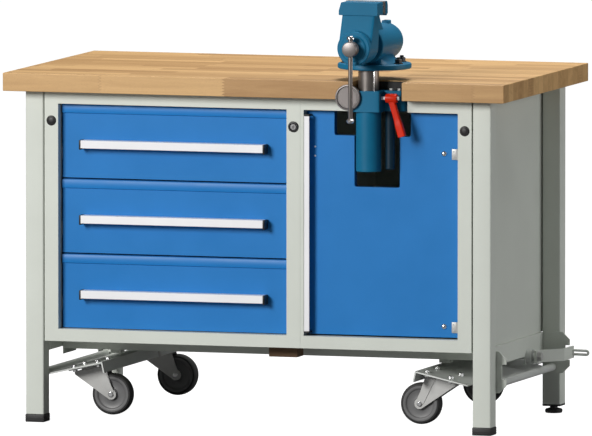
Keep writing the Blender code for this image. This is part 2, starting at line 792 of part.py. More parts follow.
def make_lever_loop(arm, arm_x, y_end):
    """A flat loop of round bar, welded to the arm's end and leaning outwards."""
    radius, half = 0.0032, 0.0048
    start = Vector((arm_x + 0.0015, y_end - 0.012, lever_height))
    bend_x = right_end + lever_overhang - radius - half * cos(atan2(0.022, 0.040))
    tip = Vector((bend_x, y_end + 0.010, lever_height - 0.003))
    out = (tip - start).normalized()
    up = Vector((0, 0, 1))
    path = [start + up * half]
    path += [tip + up * half * cos(pi * k / 6) + out * half * sin(pi * k / 6) for k in range(7)]
    path += [start - up * half]
    across = out.cross(up).normalized()
    shape = bmesh.new()
    rings = []
    for i, point in enumerate(path):
        before, after = path[max(i - 1, 0)], path[min(i + 1, len(path) - 1)]
        along = (after - before).normalized()
        side = along.cross(across).normalized()
        turns = [2 * pi * k / 8 for k in range(8)]
        rings.append([shape.verts.new(point + radius * (across * cos(t) + side * sin(t))) for t in turns])
    for first, second in zip(rings, rings[1:]):
        for k in range(8):
            n = (k + 1) % 8
            shape.faces.new((first[k], first[n], second[n], second[k]))
    shape.faces.new(rings[0])
    shape.faces.new(reversed(rings[-1]))
    bmesh.ops.recalc_face_normals(shape, faces=shape.faces)
    join(arm, shape)


def make_lift():
    """The lift's body on the bench, its ram, the clamp lever and the round cap beside it."""
    x, y = ram_x, ram_y
    top = bench_height - lift_block_below_top
    low = top - lift_block_height
    r = lift_tube_radius
    seat = min(front, y - r) - 0.0039
    body = node("lift_body", rod("z", (x, y, 0), r, lift_tube_bottom, low + 0.005, 32), petrol())
    join(
        body,
        box((x - r + 0.0006, y - r - 0.003, low), (x + r + 0.007, y + r, top), 0.002),
        box((x + r, y + 0.002, low), (x + 0.087, y + r - 0.001, top)),
        rod("z", (x + 0.0475, y + 0.018, 0), 0.011, lift_tube_bottom + 0.004, low + 0.004, 20),
        box((x - 0.045, y + r - 0.006, low + 0.012), (x + 0.085, y + 0.150, top_under - gap)),
        box((x - 0.056, seat, low + 0.016), (x - r + 0.004, front - 0.0004, top - 0.012)),
    )
    lever_pin_y, lever_pin_z = y - 0.015, bench_height - 0.039
    cut(
        body,
        rod("z", (x, y, 0), ram_radius + gap, lift_tube_bottom - 0.01, top + 0.01, 32),
        rod("x", (x + r, lever_pin_y, lever_pin_z), 0.004 + gap, -0.003, 0.020, 16),
    )
    travel = (x, y, foot_z)
    ram_top = foot_z - gap
    node("lift_ram", rod("z", (x, y, 0), ram_radius, ram_top - ram_length, ram_top, 32), steel(), travel)
    make_clamp_lever(x + r, lever_pin_y, lever_pin_z)
    cap = [
        (0, -0.0075),
        (0.022, -0.0075),
        (0.0235, -0.0055),
        (0.0265, -0.0055),
        (0.028, -0.008),
        (0.030, -0.008),
        (0.031, -0.0065),
        (0.031, 0),
        (0, 0),
    ]
    node("side_cap", turned(cap, "y", (x - 0.040, seat - gap, bench_height - 0.0375), 32), steel())


def make_clamp_lever(x, y, z):
    """A red clamping lever on a steel stud: the hub, a leaning arm and a thicker end."""
    hub = [(0, 0.0145), (0.010, 0.0145), (0.011, 0.0155), (0.011, 0.0415), (0.010, 0.0425), (0, 0.0425)]
    lever = node("clamp_lever", turned(hub, "x", (x, y, z), 20), red_plastic(), (x, y, z))
    join(lever, rod("x", (x, y, z), 0.004, -0.001, 0.0485, 16))
    start, end = (x + 0.025, z - 0.004), (x + 0.055, z - 0.086)
    join(lever, prism(rounded_bar(start, end, 0.0078), "y", y - 0.006, y + 0.006))
    join(lever, prism(rounded_bar((x + 0.050, z - 0.070), end, 0.0095), "y", y - 0.008, y + 0.008))


def make_vice():
    """A bench vice: the fixed body, the sliding jaw, the screw and its tommy bar."""
    x = ram_x
    foot_top = foot_z + vice_foot_thick
    swing = (ram_x, ram_y, foot_z)
    foot_y = ram_y + 0.048
    edge = vice_foot_radius
    foot = [
        (0, foot_z),
        (edge - 0.002, foot_z),
        (edge, foot_z + 0.002),
        (edge, foot_top - 0.003),
        (edge - 0.003, foot_top),
        (0, foot_top),
    ]
    node("vice_foot", turned(foot, "z", (x, foot_y, 0), 40), petrol(), swing)
    make_vice_body(x, foot_top + gap, swing)
    make_vice_jaw(x, swing)
    make_vice_screw(x)


def make_vice_body(x, low, pivot):
    """The fixed body: a round housing over a sole, with the rear jaw in front and a lug on top."""
    y, z = ram_y, spindle_z
    front_y, back_y = y - 0.026, y + 0.158
    top = foot_z + jaw_height + vice_foot_thick
    barrel = 0.044
    shell = [
        (0, front_y),
        (barrel, front_y),
        (barrel, back_y - 0.014),
        (barrel - 0.0045, back_y - 0.004),
        (barrel - 0.0125, back_y),
        (0, back_y),
    ]
    body = node("vice_body", turned(shell, "y", (x, 0, z), 36), petrol(), pivot)
    column = [
        (y - 0.026, z),
        (y - 0.026, top - 0.034),
        (y + 0.001, top - 0.034),
        (y + 0.040, z + 0.020),
        (y + 0.062, z),
    ]
    head = [
        (y - 0.029, top - 0.031),
        (y - 0.029, top),
        (y - 0.010, top),
        (y, top - 0.008),
        (y, top - 0.031),
        (y - 0.010, top - 0.036),
        (y - 0.019, top - 0.036),
    ]
    pedestal = [(x - 0.038, low + 0.004), (x + 0.038, low + 0.004), (x + 0.028, z), (x - 0.028, z)]
    sole_y = y + 0.048
    sole_outline = rounded((x - 0.050, sole_y - 0.070), (x + 0.050, sole_y + 0.070), 0.020)
    sole = prism(sole_outline, "z", low, low + 0.012)
    join(
        body,
        prism(column, "x", x - 0.026, x + 0.026),
        prism(head, "x", x - jaw_half_width, x + jaw_half_width),
        sole,
        prism(pedestal, "y", y - 0.016, y + 0.120),
        box((x - 0.005, y + 0.118, z + 0.036), (x + 0.013, y + 0.141, z + 0.050), 0.001),
    )
    cut(body, rod("y", (x, 0, z), 0.0275, front_y - 0.02, back_y - 0.008, 32))


def make_vice_jaw(x, pivot):
    """The sliding jaw: a wide head, a front that leans forward, a round boss and its slide bar."""
    y, z = ram_y, spindle_z
    top = foot_z + jaw_height + vice_foot_thick
    boss = 0.041
    meet = y - 0.0295 - gap
    boss_y = y - 0.126
    front_low, front_top = y - 0.122, y - 0.082
    slide = [
        (0, boss_y),
        (0.031, boss_y),
        (0.0325, boss_y + 0.002),
        (0.0325, y - 0.080),
        (0.027, y - 0.075),
        (0.027, y + 0.110),
        (0, y + 0.110),
    ]
    jaw = node("vice_jaw", turned(slide, "y", (x, 0, z), 32), petrol(), (x, y, z))
    front_face = [
        (front_low, z - 0.004),
        (front_top, top - 0.030),
        (meet - 0.014, top - 0.030),
        (meet - 0.024, z + 0.030),
        (meet - 0.026, z - 0.004),
    ]
    head = [
        (front_top - 0.004, top - 0.029),
        (front_top - 0.001, top - 0.003),
        (front_top + 0.006, top),
        (meet, top),
        (meet, top - 0.026),
        (meet - 0.010, top - 0.034),
        (front_top, top - 0.034),
    ]
    join(
        jaw,
        prism(front_face, "x", x - boss, x + boss),
        rod("y", (x, 0, z), boss, front_low, meet - 0.026, 36),
        prism(head, "x", x - jaw_half_width, x + jaw_half_width),
    )
    cut(jaw, rod("y", (x, 0, z), 0.0100 + gap, boss_y - 0.02, y + 0.13, 24))


def make_vice_screw(x):
    """The screw through the sliding jaw, and the bar that turns it, hanging in the head's hole."""
    y, z = ram_y, spindle_z
    head_y = front - spindle_reach
    boss_y = y - 0.126 - gap
    head = [
        (0, head_y),
        (0.0165, head_y),
        (0.018, head_y + 0.0015),
        (0.018, head_y + 0.024),
        (0.014, head_y + 0.026),
        (0.014, boss_y),
        (0.0100, boss_y),
        (0.0100, y + 0.100),
        (0, y + 0.100),
    ]
    bar_y = head_y + 0.012
    screw = node("vice_screw", turned(head, "y", (x, 0, z), 28), steel(), (x, bar_y, z))
    cut(screw, rod("z", (x, bar_y, z), tommy_radius + gap, -0.03, 0.03, 20))
    knob = 0.009
    top = 0.018 + 0.0135
    low = top - tommy_length
    profile = [
        (0, low),
        (knob - 0.002, low),
        (knob, low + 0.002),
        (knob, low + 0.008),
        (tommy_radius, low + 0.010),
        (tommy_radius, 0.0185),
        (knob, 0.0205),
        (knob, top - 0.002),
        (knob - 0.002, top),
        (0, top),
    ]
    node("tommy_bar", turned(profile, "z", (x, bar_y, z), 20), steel(), (x, bar_y, z))


def main():
    for old in list(bpy.data.objects):
        bpy.data.objects.remove(old)
    make_worktop()
    make_legs()
    make_underframe()
    make_lever_brackets()
    make_drawer_cabinet()
    make_door_cabinet()
    make_door()
    make_carriages()
    make_lever()
    make_lift()
    make_vice()


main()
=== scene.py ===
import json
import math

import bmesh
import bpy
import numpy as np
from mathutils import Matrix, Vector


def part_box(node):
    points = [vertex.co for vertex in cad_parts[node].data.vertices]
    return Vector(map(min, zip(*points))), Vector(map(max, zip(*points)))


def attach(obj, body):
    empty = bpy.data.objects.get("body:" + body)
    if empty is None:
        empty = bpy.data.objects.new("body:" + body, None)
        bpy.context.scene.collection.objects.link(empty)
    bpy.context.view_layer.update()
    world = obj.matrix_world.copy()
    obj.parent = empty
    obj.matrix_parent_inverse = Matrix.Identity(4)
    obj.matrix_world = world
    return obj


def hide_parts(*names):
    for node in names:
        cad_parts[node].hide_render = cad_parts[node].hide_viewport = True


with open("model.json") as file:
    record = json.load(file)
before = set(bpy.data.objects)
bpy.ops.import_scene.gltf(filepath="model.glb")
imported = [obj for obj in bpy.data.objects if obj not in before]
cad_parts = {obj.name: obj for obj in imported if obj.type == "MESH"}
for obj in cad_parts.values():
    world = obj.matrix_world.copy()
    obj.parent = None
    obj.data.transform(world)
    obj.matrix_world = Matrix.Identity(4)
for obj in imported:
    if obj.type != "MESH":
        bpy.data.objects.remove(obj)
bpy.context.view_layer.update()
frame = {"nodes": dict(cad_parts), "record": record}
scene = bpy.context.scene
print("frame loaded")


# Each shape is (points, faces), worked out as whole arrays.
def gridShape(points, closeAcross=False, closeAlong=False):
    # Quads between neighbouring points of a rows by columns grid, closed on itself where asked.
    rows, columns = points.shape[:2]
    index = np.arange(rows * columns).reshape(rows, columns)
    if closeAlong:
        index = np.vstack([index, index[:1]])
    if closeAcross:
        index = np.hstack([index, index[:, :1]])
    corners = [index[:-1, :-1], index[:-1, 1:], index[1:, 1:], index[1:, :-1]]
    return points.reshape(-1, 3), np.stack(corners, axis=-1).reshape(-1, 4).tolist()


def turnTo(axis, across, up, along):
    # The three arrays put in x, y, z order, with along on the named axis.
    order = {"x": (along, across, up), "y": (across, along, up), "z": (across, up, along)}[axis]
    return np.stack(np.broadcast_arrays(*order), axis=-1)


def spun(profile, axis, centre, steps=48, start=0.0):
    # place = centre + (start + along) on the axis + radius x (cos turn, sin turn), for each (radius, along).
    profile = np.array(profile, float)
    turn = np.linspace(0, 2 * math.pi, steps, endpoint=False)
    across = profile[:, :1] * np.cos(turn)
    up = profile[:, :1] * np.sin(turn)
    return gridShape(turnTo(axis, across, up, start + profile[:, 1:]) + np.array(centre), closeAcross=True)


def carried(outline, axis, start, end):
    # The outline stands at both ends of a straight path, with quads between and a face on each end.
    outline = np.array(outline, float)
    along = np.array([[start], [end]])
    points = turnTo(axis, outline[:, 0], outline[:, 1], along)
    places, faces = gridShape(points, closeAcross=True)
    count = len(outline)
    return places, faces + [list(range(count)), list(range(2 * count - 1, count - 1, -1))]


def capped(rings):
    # Rings joined by quads, with one face on each end.
    places, faces = gridShape(rings, closeAcross=True)
    wide, count = rings.shape[1], len(places)
    return places, faces + [list(range(wide - 1, -1, -1)), list(range(count - wide, count))]


def softBox(low, high, radius, steps=3):
    # A box's corner pulled in by the radius, plus the radius times a direction on a sphere.
    low, high = np.array(low, float), np.array(high, float)
    quarter = np.linspace(0, math.pi / 2, steps + 1)
    turn = np.concatenate([quarter + k * math.pi / 2 for k in range(4)])
    rise = np.concatenate([quarter - math.pi / 2, quarter])
    side = np.repeat([[1, 1], [-1, 1], [-1, -1], [1, -1]], steps + 1, axis=0)
    flat = np.cos(rise)[:, None]
    ball = np.stack(np.broadcast_arrays(flat * np.cos(turn), flat * np.sin(turn), np.sin(rise)[:, None]), axis=-1)
    level = np.repeat([-1, 1], steps + 1)[:, None]
    corner = np.stack(np.broadcast_arrays(side[:, 0], side[:, 1], level), axis=-1)
    return gridShape((low + high) / 2 + corner * ((high - low) / 2 - radius) + radius * ball, closeAcross=True)


def roundedOutline(low, high, radius, steps=5):
    # A rectangle's outline whose corners are quarter circles.
    turn = np.linspace(0, math.pi / 2, steps + 1)
    corners = [(high[0], high[1], 1, 1), (low[0], high[1], -1, 1), (low[0], low[1], -1, -1), (high[0], low[1], 1, -1)]
    points = []
    for k, (a, b, signA, signB) in enumerate(corners):
        angle = turn + k * math.pi / 2
        across = a - signA * radius + radius * np.cos(angle)
        points.append(np.stack([across, b - signB * radius + radius * np.sin(angle)], axis=-1))
    return np.concatenate(points)


def filleted(outline, radius, steps=4):
    # Each corner becomes a quadratic curve, from the radius before it to the radius after it, drawn toward it.
    outline = np.array(outline, float)
    reach = np.broadcast_to(radius, len(outline))[:, None]

    def toward(step):
        edge = np.roll(outline, step, axis=0) - outline
        length = np.linalg.norm(edge, axis=1)[:, None]
        return (outline + edge / length * np.minimum(reach, length * 0.49))[:, None]

    t = np.linspace(0, 1, steps + 1)[None, :, None]
    curve = (1 - t) ** 2 * toward(1) + 2 * t * (1 - t) * outline[:, None] + t**2 * toward(-1)
    return curve.reshape(-1, 2)


def squaredCircle(steps, power):
    # A circle's cosine and sine with their sizes raised to a power below one, which squares it off.
    turn = np.linspace(0, 2 * math.pi, steps, endpoint=False)
    c, s = np.cos(turn), np.sin(turn)
    return np.sign(c) * np.abs(c) ** power, np.sign(s) * np.abs(s) ** power


def hexBar(centre, across, axis, start, end):
    # Six corners, each across / root 3 from the centre, carried along the axis.
    turn = np.arange(6) * math.pi / 3
    ring = np.stack([np.cos(turn), np.sin(turn)], axis=-1)
    return carried(np.array(centre) + across / math.sqrt(3) * ring, axis, start, end)


def tilted(shape, pivot, angle):
    # The shape turned about the y direction through the pivot.
    points, faces = shape
    x, y, z = (points - np.array(pivot)).T
    c, s = math.cos(angle), math.sin(angle)
    return np.stack([x * c + z * s, y, -x * s + z * c], axis=-1) + np.array(pivot), faces


def piece(name, shapes, finish, body, replaced=(), bevel=0.0):
    # One mesh of closed shells, with its doubles merged and its faces turned outwards.
    points, faces, count = [], [], 0
    for shape in shapes:
        points.append(shape[0])
        faces += [[i + count for i in face] for face in shape[1]]
        count += len(shape[0])
    mesh = bpy.data.meshes.new(name)
    mesh.from_pydata(np.concatenate(points).tolist(), [], faces)
    work = bmesh.new()
    work.from_mesh(mesh)
    bmesh.ops.remove_doubles(work, verts=work.verts, dist=1e-6)
    bmesh.ops.dissolve_degenerate(work, edges=work.edges, dist=1e-7)
    bmesh.ops.recalc_face_normals(work, faces=work.faces)
    work.to_mesh(mesh)
    work.free()
    made = bpy.data.objects.new(name, mesh)
    scene.collection.objects.link(made)
    return finished(made, finish, body, replaced, bevel)


def finished(made, finish, body, replaced, bevel):
    made.data.materials.clear()
    made.data.materials.append(finishes[finish])
    made.data.shade_smooth()
    made.data.set_sharp_from_angle(angle=math.radians(35))
    if bevel:
        edges = made.modifiers.new("edges", "BEVEL")
        edges.width = bevel
        edges.segments = 2
        edges.limit_method = "ANGLE"
        edges.angle_limit = math.radians(30)
        edges.harden_normals = True
    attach(made, body)
    if replaced:
        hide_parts(*replaced)
    return made


def softened(node, finish, body, bevel):
    # A copy of a flat-sided sheet part, merged into whole faces and given rounded edges.
    work = bmesh.new()
    work.from_mesh(frame["nodes"][node].data)
    bmesh.ops.remove_doubles(work, verts=work.verts, dist=2e-5)
    bmesh.ops.dissolve_limit(work, angle_limit=math.radians(0.5), verts=work.verts, edges=work.edges)
    mesh = bpy.data.meshes.new(node + "_sheet")
    work.to_mesh(mesh)
    work.free()
    made = bpy.data.objects.new(node + "_sheet", mesh)
    scene.collection.objects.link(made)
    return finished(made, finish, body, (node,), bevel)


def feed(tree, node, values):
    # An input given another node's output is linked to it, and any other is set.
    for key, value in values.items():
        if isinstance(value, bpy.types.NodeSocket):
            tree.links.new(value, node.inputs[key])
        else:
            node.inputs[key].default_value = value
    return node


def addNode(tree, kind, values=None, **settings):
    made = tree.nodes.new(kind)
    for key, value in settings.items():
        setattr(made, key, value)
    return feed(tree, made, values or {})


def objectPlace(tree):
    return addNode(tree, "ShaderNodeTexCoord").outputs["Object"]


def mathNode(tree, operation, *values):
    return addNode(tree, "ShaderNodeMath", dict(enumerate(values)), operation=operation).outputs[0]


def remapped(tree, value, low, high, least=0.0, most=1.0):
    values = {"Value": value, "From Min": low, "From Max": high, "To Min": least, "To Max": most}
    return addNode(tree, "ShaderNodeMapRange", values).outputs["Result"]


def noise(tree, place, scale, detail, roughness, distortion=0.0):
    values = {"Vector": place, "Scale": scale, "Detail": detail, "Roughness": roughness, "Distortion": distortion}
    return addNode(tree, "ShaderNodeTexNoise", values).outputs["Fac"]


def stretched(tree, place, scale):
    return addNode(tree, "ShaderNodeMapping", {"Vector": place, "Scale": scale}).outputs[0]


def mixColour(tree, amount, first, second):
    colours = [(*value, 1) if isinstance(value, tuple) else value for value in (first, second)]
    return addNode(tree, "ShaderNodeMix", {0: amount, 6: colours[0], 7: colours[1]}, data_type="RGBA").outputs[2]


def newGroup(name, inputs, outputs):
    # A socket whose name speaks of colour holds a colour, and any other holds a number.
    group = bpy.data.node_groups.new(name, "ShaderNodeTree")
    for way, labels in (("INPUT", inputs), ("OUTPUT", dict.fromkeys(outputs))):
        for label, value in labels.items():
            kind = "NodeSocketColor" if "olour" in label else "NodeSocketFloat"
            socket = group.interface.new_socket(label, in_out=way, socket_type=kind)
            if value is not None:
                socket.default_value = value
    return group, group.nodes.new("NodeGroupInput").outputs


def edgeWearGroup():
    # Where a rounded normal turns away from the true one there is an edge. Noise breaks the mask up.
    inputs = {"Colour": None, "Worn colour": None, "Width": 0.002, "Amount": 0.5}
    group, given = newGroup("edge wear", inputs, ("Colour", "Mask"))
    place = objectPlace(group)
    rounded = addNode(group, "ShaderNodeBevel", {"Radius": given["Width"]}, samples=4).outputs["Normal"]
    true = addNode(group, "ShaderNodeNewGeometry").outputs["Normal"]
    same = addNode(group, "ShaderNodeVectorMath", {0: rounded, 1: true}, operation="DOT_PRODUCT").outputs["Value"]
    broken = remapped(group, noise(group, place, 55.0, 6.0, 0.65), 0.35, 0.7)
    edge = mathNode(group, "MULTIPLY", remapped(group, same, 0.985, 0.88), broken)
    amount = mathNode(group, "MULTIPLY", edge, given["Amount"])
    colour = mixColour(group, amount, given["Colour"], given["Worn colour"])
    addNode(group, "NodeGroupOutput", {"Colour": colour, "Mask": amount})
    return group


def surfaceGrainGroup():
    # Fine pebbled height, slow drift of tone, and dust that lies thicker on faces that look up.
    inputs = {"Colour": None, "Scale": 900.0, "Drift": 0.06, "Dust": 0.1, "Roughness": 0.4}
    group, given = newGroup("surface grain", inputs, ("Colour", "Roughness", "Height"))
    place = objectPlace(group)
    pebble = noise(group, place, given["Scale"], 3.0, 0.6)
    centred = remapped(group, noise(group, place, 7.0, 5.0, 0.6), 0.25, 0.75, -1.0, 1.0)
    drift = mathNode(group, "MULTIPLY_ADD", centred, given["Drift"], 1.0)
    toned = addNode(group, "ShaderNodeVectorMath", {0: given["Colour"], "Scale": drift}, operation="SCALE").outputs[0]
    normal = addNode(group, "ShaderNodeNewGeometry").outputs["Normal"]
    height = addNode(group, "ShaderNodeSeparateXYZ", {0: normal}).outputs["Z"]
    dust = mathNode(group, "MULTIPLY", remapped(group, height, 0.2, 1.0), given["Dust"])
    colour = mixColour(group, dust, toned, (0.42, 0.39, 0.34))
    rougher = mathNode(group, "MULTIPLY_ADD", centred, 0.07, given["Roughness"])
    dusty = mathNode(group, "ADD", rougher, dust)
    addNode(group, "NodeGroupOutput", {"Colour": colour, "Roughness": dusty, "Height": pebble})
    return group


edgeWear = edgeWearGroup()
surfaceGrain = surfaceGrainGroup()


def startMaterial(name):
    made = bpy.data.materials.new(name)
    made.use_nodes = True
    return made, made.node_tree, made.node_tree.nodes["Principled BSDF"]


def wornEdges(tree, colour, worn, width, amount):
    values = {"Colour": colour, "Worn colour": (*worn, 1), "Width": width, "Amount": amount}
    return addNode(tree, "ShaderNodeGroup", values, node_tree=edgeWear).outputs["Colour"]


def bumped(tree, height, strength, depth):
    return addNode(tree, "ShaderNodeBump", {"Strength": strength, "Distance": depth,
        "Height": height}).outputs["Normal"]


def coatedFinish(name, colour, worn, roughness, metallic=0.0, pebble=900.0, depth=0.0002, drift=0.1, dust=0.0,
                 wear=0.3, wearWidth=0.002, brush=None, gloss=0.5):
    # Paint, plastic or plain metal: a toned colour, lighter edges and a pebbled or brushed skin.
    made, tree, shader = startMaterial(name)
    values = {"Colour": (*colour, 1), "Scale": pebble, "Drift": drift, "Dust": dust, "Roughness": roughness}
    grain = addNode(tree, "ShaderNodeGroup", values, node_tree=surfaceGrain).outputs
    height = grain["Height"]
    if brush:
        # Brush or lathe marks: noise drawn out along one direction.
        place = objectPlace(tree)
        height = noise(tree, stretched(tree, place, brush), 1.0, 4.0, 0.7)
    feed(tree, shader, {
        "Base Color": wornEdges(tree, grain["Colour"], worn, wearWidth, wear),
        "Roughness": grain["Roughness"],
        "Metallic": metallic,
        "Specular IOR Level": gloss,
        "Normal": bumped(tree, height, 0.35, depth),
    })
    return made


beech = {
    "stave": 0.041,  # width of one glued strip, across the top
    "firstStave": 0.2885,  # moves the glue lines across the top
    "length": 0.31,  # between two finger joints in a strip
    "finger": (0.0035, 2.4),  # half a finger's width, and how steeply it runs along
    "glueLine": 0.0007,
    "fingerLine": 0.0008,
    "light": (0.7, 0.435, 0.185),
    "dark": (0.38, 0.2, 0.068),
    "fleck": (0.33, 0.165, 0.055),
    "joint": (0.33, 0.17, 0.07),
    "worn": (0.8, 0.58, 0.33),
    "roughness": 0.36,
}


def beechFinish():
    # Strips along x, each in lengths with its own tone, joined by fingers. Grain and ray flecks run along x.
    made, tree, shader = startMaterial("beech")

    def calc(operation, *values):
        return mathNode(tree, operation, *values)

    place = objectPlace(tree)
    x, y, z = addNode(tree, "ShaderNodeSeparateXYZ", {0: place}).outputs
    across = calc("DIVIDE", calc("ADD", y, beech["firstStave"]), beech["stave"])
    strip = calc("FLOOR", across)
    shift = addNode(tree, "ShaderNodeTexWhiteNoise", {"W": strip}, noise_dimensions="1D").outputs["Value"]
    # The fingers of a joint are a zigzag of the place up the strip's thickness.
    toothed = calc("MULTIPLY_ADD", calc("PINGPONG", z, beech["finger"][0]), beech["finger"][1], x)
    along = calc("ADD", calc("DIVIDE", toothed, beech["length"]), calc("MULTIPLY", shift, 7.3))
    which = addNode(tree, "ShaderNodeCombineXYZ", {0: strip, 1: calc("FLOOR", along)}).outputs[0]
    tone = addNode(tree, "ShaderNodeTexWhiteNoise", {"Vector": which}, noise_dimensions="3D").outputs
    # Slow grain, fine grain and flecks are drawn out along the strip and different in each piece of wood.
    values = {0: tone["Color"], 1: (9.1, 3.7, 5.3), 2: place}
    apart = addNode(tree, "ShaderNodeVectorMath", values, operation="MULTIPLY_ADD").outputs[0]
    grain = noise(tree, stretched(tree, apart, (3.2, 42.0, 42.0)), 1.0, 6.0, 0.62, 0.6)
    fine = noise(tree, stretched(tree, apart, (26.0, 900.0, 900.0)), 1.0, 3.0, 0.6)
    values = {"Scale": 1.0, "Vector": stretched(tree, apart, (190.0, 1100.0, 1100.0))}
    fleck = addNode(tree, "ShaderNodeTexVoronoi", values).outputs["Distance"]
    darkness = calc("MULTIPLY_ADD", grain, 1.1, calc("MULTIPLY_ADD", tone["Value"], 0.85, -0.56))
    colour = mixColour(tree, addNode(tree, "ShaderNodeClamp", {"Value": darkness}).outputs[0], beech["light"],
        beech["dark"])
    colour = mixColour(tree, calc("MULTIPLY", calc("LESS_THAN", fleck, 0.26), 0.32), colour, beech["fleck"])
    fineMask = calc("MULTIPLY", calc("SUBTRACT", fine, 0.5), 0.5)
    colour = mixColour(tree, calc("ABSOLUTE", fineMask), colour, beech["dark"])
    # Glue lines: close to a strip's edge, or close to the end of a length.
    masks = []
    for where, half in ((across, beech["glueLine"] / beech["stave"]), (along, beech["fingerLine"] / beech["length"])):
        fromMiddle = calc("ABSOLUTE", calc("SUBTRACT", calc("FRACT", where), 0.5))
        masks.append(calc("GREATER_THAN", fromMiddle, 0.5 - half))
    lines = calc("MULTIPLY", calc("MAXIMUM", *masks), 0.62)
    feed(tree, shader, {
        "Base Color": wornEdges(tree, mixColour(tree, lines, colour, beech["joint"]), beech["worn"], 0.003, 0.45),
        "Roughness": calc("MULTIPLY_ADD", grain, 0.16, beech["roughness"]),
        "Normal": bumped(tree, calc("SUBTRACT", fine, lines), 0.25, 0.0004),
    })
    return made


satin = ((0.92, 0.92, 0.95), (0.97, 0.97, 0.98), 0.36)
satinSkin = {"depth": 0.000006, "drift": 0.03, "wearWidth": 0.001}
finishes = {
    "beech": beechFinish(),
    "greyPaint": coatedFinish("light grey powder coat", (0.66, 0.695, 0.64), (0.78, 0.8, 0.76), 0.46,
        pebble=650, depth=0.00025, drift=0.03, dust=0.05, wear=0.35),
    "bluePaint": coatedFinish("blue powder coat", (0.009, 0.19, 0.545), (0.09, 0.3, 0.68), 0.42, pebble=700,
        drift=0.05, dust=0.05, wear=0.4, gloss=0.28),
    "petrolPaint": coatedFinish("petrol blue enamel on iron", (0.006, 0.142, 0.272), (0.02, 0.19, 0.33), 0.44,
        pebble=260, depth=0.0006, wear=0.35, gloss=0.2),
    # Petrol enamel darkened far below its own colour: painted shade, for the spring tube that stands in shadow behind
    # the lift.
    "petrolInPaintedShade": coatedFinish("petrol enamel darkened as painted shade", (0.004, 0.024, 0.045), (0.015, 0.07, 0.12), 0.42,
        pebble=400, depth=0.0003, gloss=0.3),
    "steel": coatedFinish("turned steel", (0.27, 0.245, 0.23), (0.6, 0.58, 0.56), 0.34, metallic=0.85,
        brush=(60, 60, 1400), dust=0.02, wear=0.5),
    "lathedSteel": coatedFinish("faced steel", (0.22, 0.2, 0.195), (0.6, 0.58, 0.57), 0.4, metallic=0.75,
        brush=(500, 60, 500), wear=0.6),
    "chrome": coatedFinish("bright plated steel", (0.82, 0.82, 0.83), (0.95, 0.95, 0.95), 0.16, metallic=1.0,
        pebble=1500, depth=0.00003, drift=0.04),
    "zinc": coatedFinish("zinc plate", (0.5, 0.5, 0.49), (0.72, 0.72, 0.71), 0.42, metallic=0.4, pebble=420,
        depth=0.00012, drift=0.14, dust=0.06, wear=0.5),
    "brightZinc": coatedFinish("bright zinc sheet", (0.66, 0.68, 0.66), (0.8, 0.8, 0.79), 0.42, metallic=0.3,
        pebble=300, depth=0.00012, drift=0.08, dust=0.03, wear=0.5),
    "aluminium": coatedFinish("satin anodised aluminium", *satin, brush=(10, 500, 500), **satinSkin),
    "uprightAluminium": coatedFinish("satin anodised aluminium, upright", *satin, brush=(500, 500, 10), **satinSkin),
    "blackPlastic": coatedFinish("black moulded plastic", (0.014, 0.014, 0.015), (0.06, 0.06, 0.062), 0.46,
        pebble=1100, depth=0.00012, drift=0.15, dust=0.03, wear=0.4),
    "greyPlastic": coatedFinish("grey wheel plastic", (0.14, 0.14, 0.143), (0.26, 0.26, 0.265), 0.44,
        pebble=1000, depth=0.0001, dust=0.05, wear=0.4),
    "tread": coatedFinish("dark rubber tread", (0.02, 0.02, 0.021), (0.07, 0.07, 0.07), 0.62, pebble=800,
        depth=0.00025, drift=0.2, dust=0.06),
    "redPlastic": coatedFinish("red moulded nylon", (0.76, 0.024, 0.002), (0.88, 0.09, 0.03), 0.42,
        depth=0.0001, drift=0.06, wear=0.4, wearWidth=0.001, gloss=0.25),
    "brownWood": coatedFinish("raw brown block", (0.15, 0.085, 0.045), (0.28, 0.18, 0.1), 0.75,
        brush=(20, 500, 500), depth=0.0006, drift=0.25, dust=0.1, wear=0.5),
}
# The first finish named for a slot is the one its CAD nodes get.
slotOf = {
    "beech": "beech", "greyPaint": "light_grey_paint", "bluePaint": "blue_paint", "petrolPaint": "petrol_paint",
    "petrolInPaintedShade": "petrol_paint", "steel": "steel", "lathedSteel": "steel", "chrome": "steel", "zinc": "zinc_plate",
    "brightZinc": "zinc_plate", "aluminium": "aluminium", "uprightAluminium": "aluminium",
    "blackPlastic": "black_plastic", "greyPlastic": "grey_plastic", "tread": "black_plastic",
    "redPlastic": "red_plastic", "brownWood": "brown_wood",
}
nodeFinish = {slot: finish for finish, slot in reversed(slotOf.items())}
for entry in frame["record"]["subparts"]:
    part = frame["nodes"][entry["node"]]
    part.data.materials.clear()
    part.data.materials.append(finishes[nodeFinish[entry["material_slot"]]])
print("finishes made")


studio = {
    "azimuth": 17.44,
    "elevation": 5.03,
    "target": (-0.0115, 0.0625, 0.4788),
    "width": 1.4189,  # metres across the frame, at the target
    "distance": 47.2,
    "key": 590.0,
    "side": 42.0,
    "top": 96.0,
    "ambient": 0.1,
    "floorGlow": 1.0,  # only what the camera sees of the floor
}


def aimed(obj, place, target):
    obj.location = place
    x, y, z = np.array(target, float) - np.array(place, float)
    obj.rotation_euler = (math.atan2(math.hypot(x, y), -z), 0, math.atan2(x, -y) + math.pi)
    scene.collection.objects.link(obj)


def areaLight(name, place, target, size, power, colour=(1, 1, 1)):
    light = bpy.data.lights.new(name, "AREA")
    light.size = size
    light.energy = power
    light.color = colour
    aimed(bpy.data.objects.new(name, light), place, target)


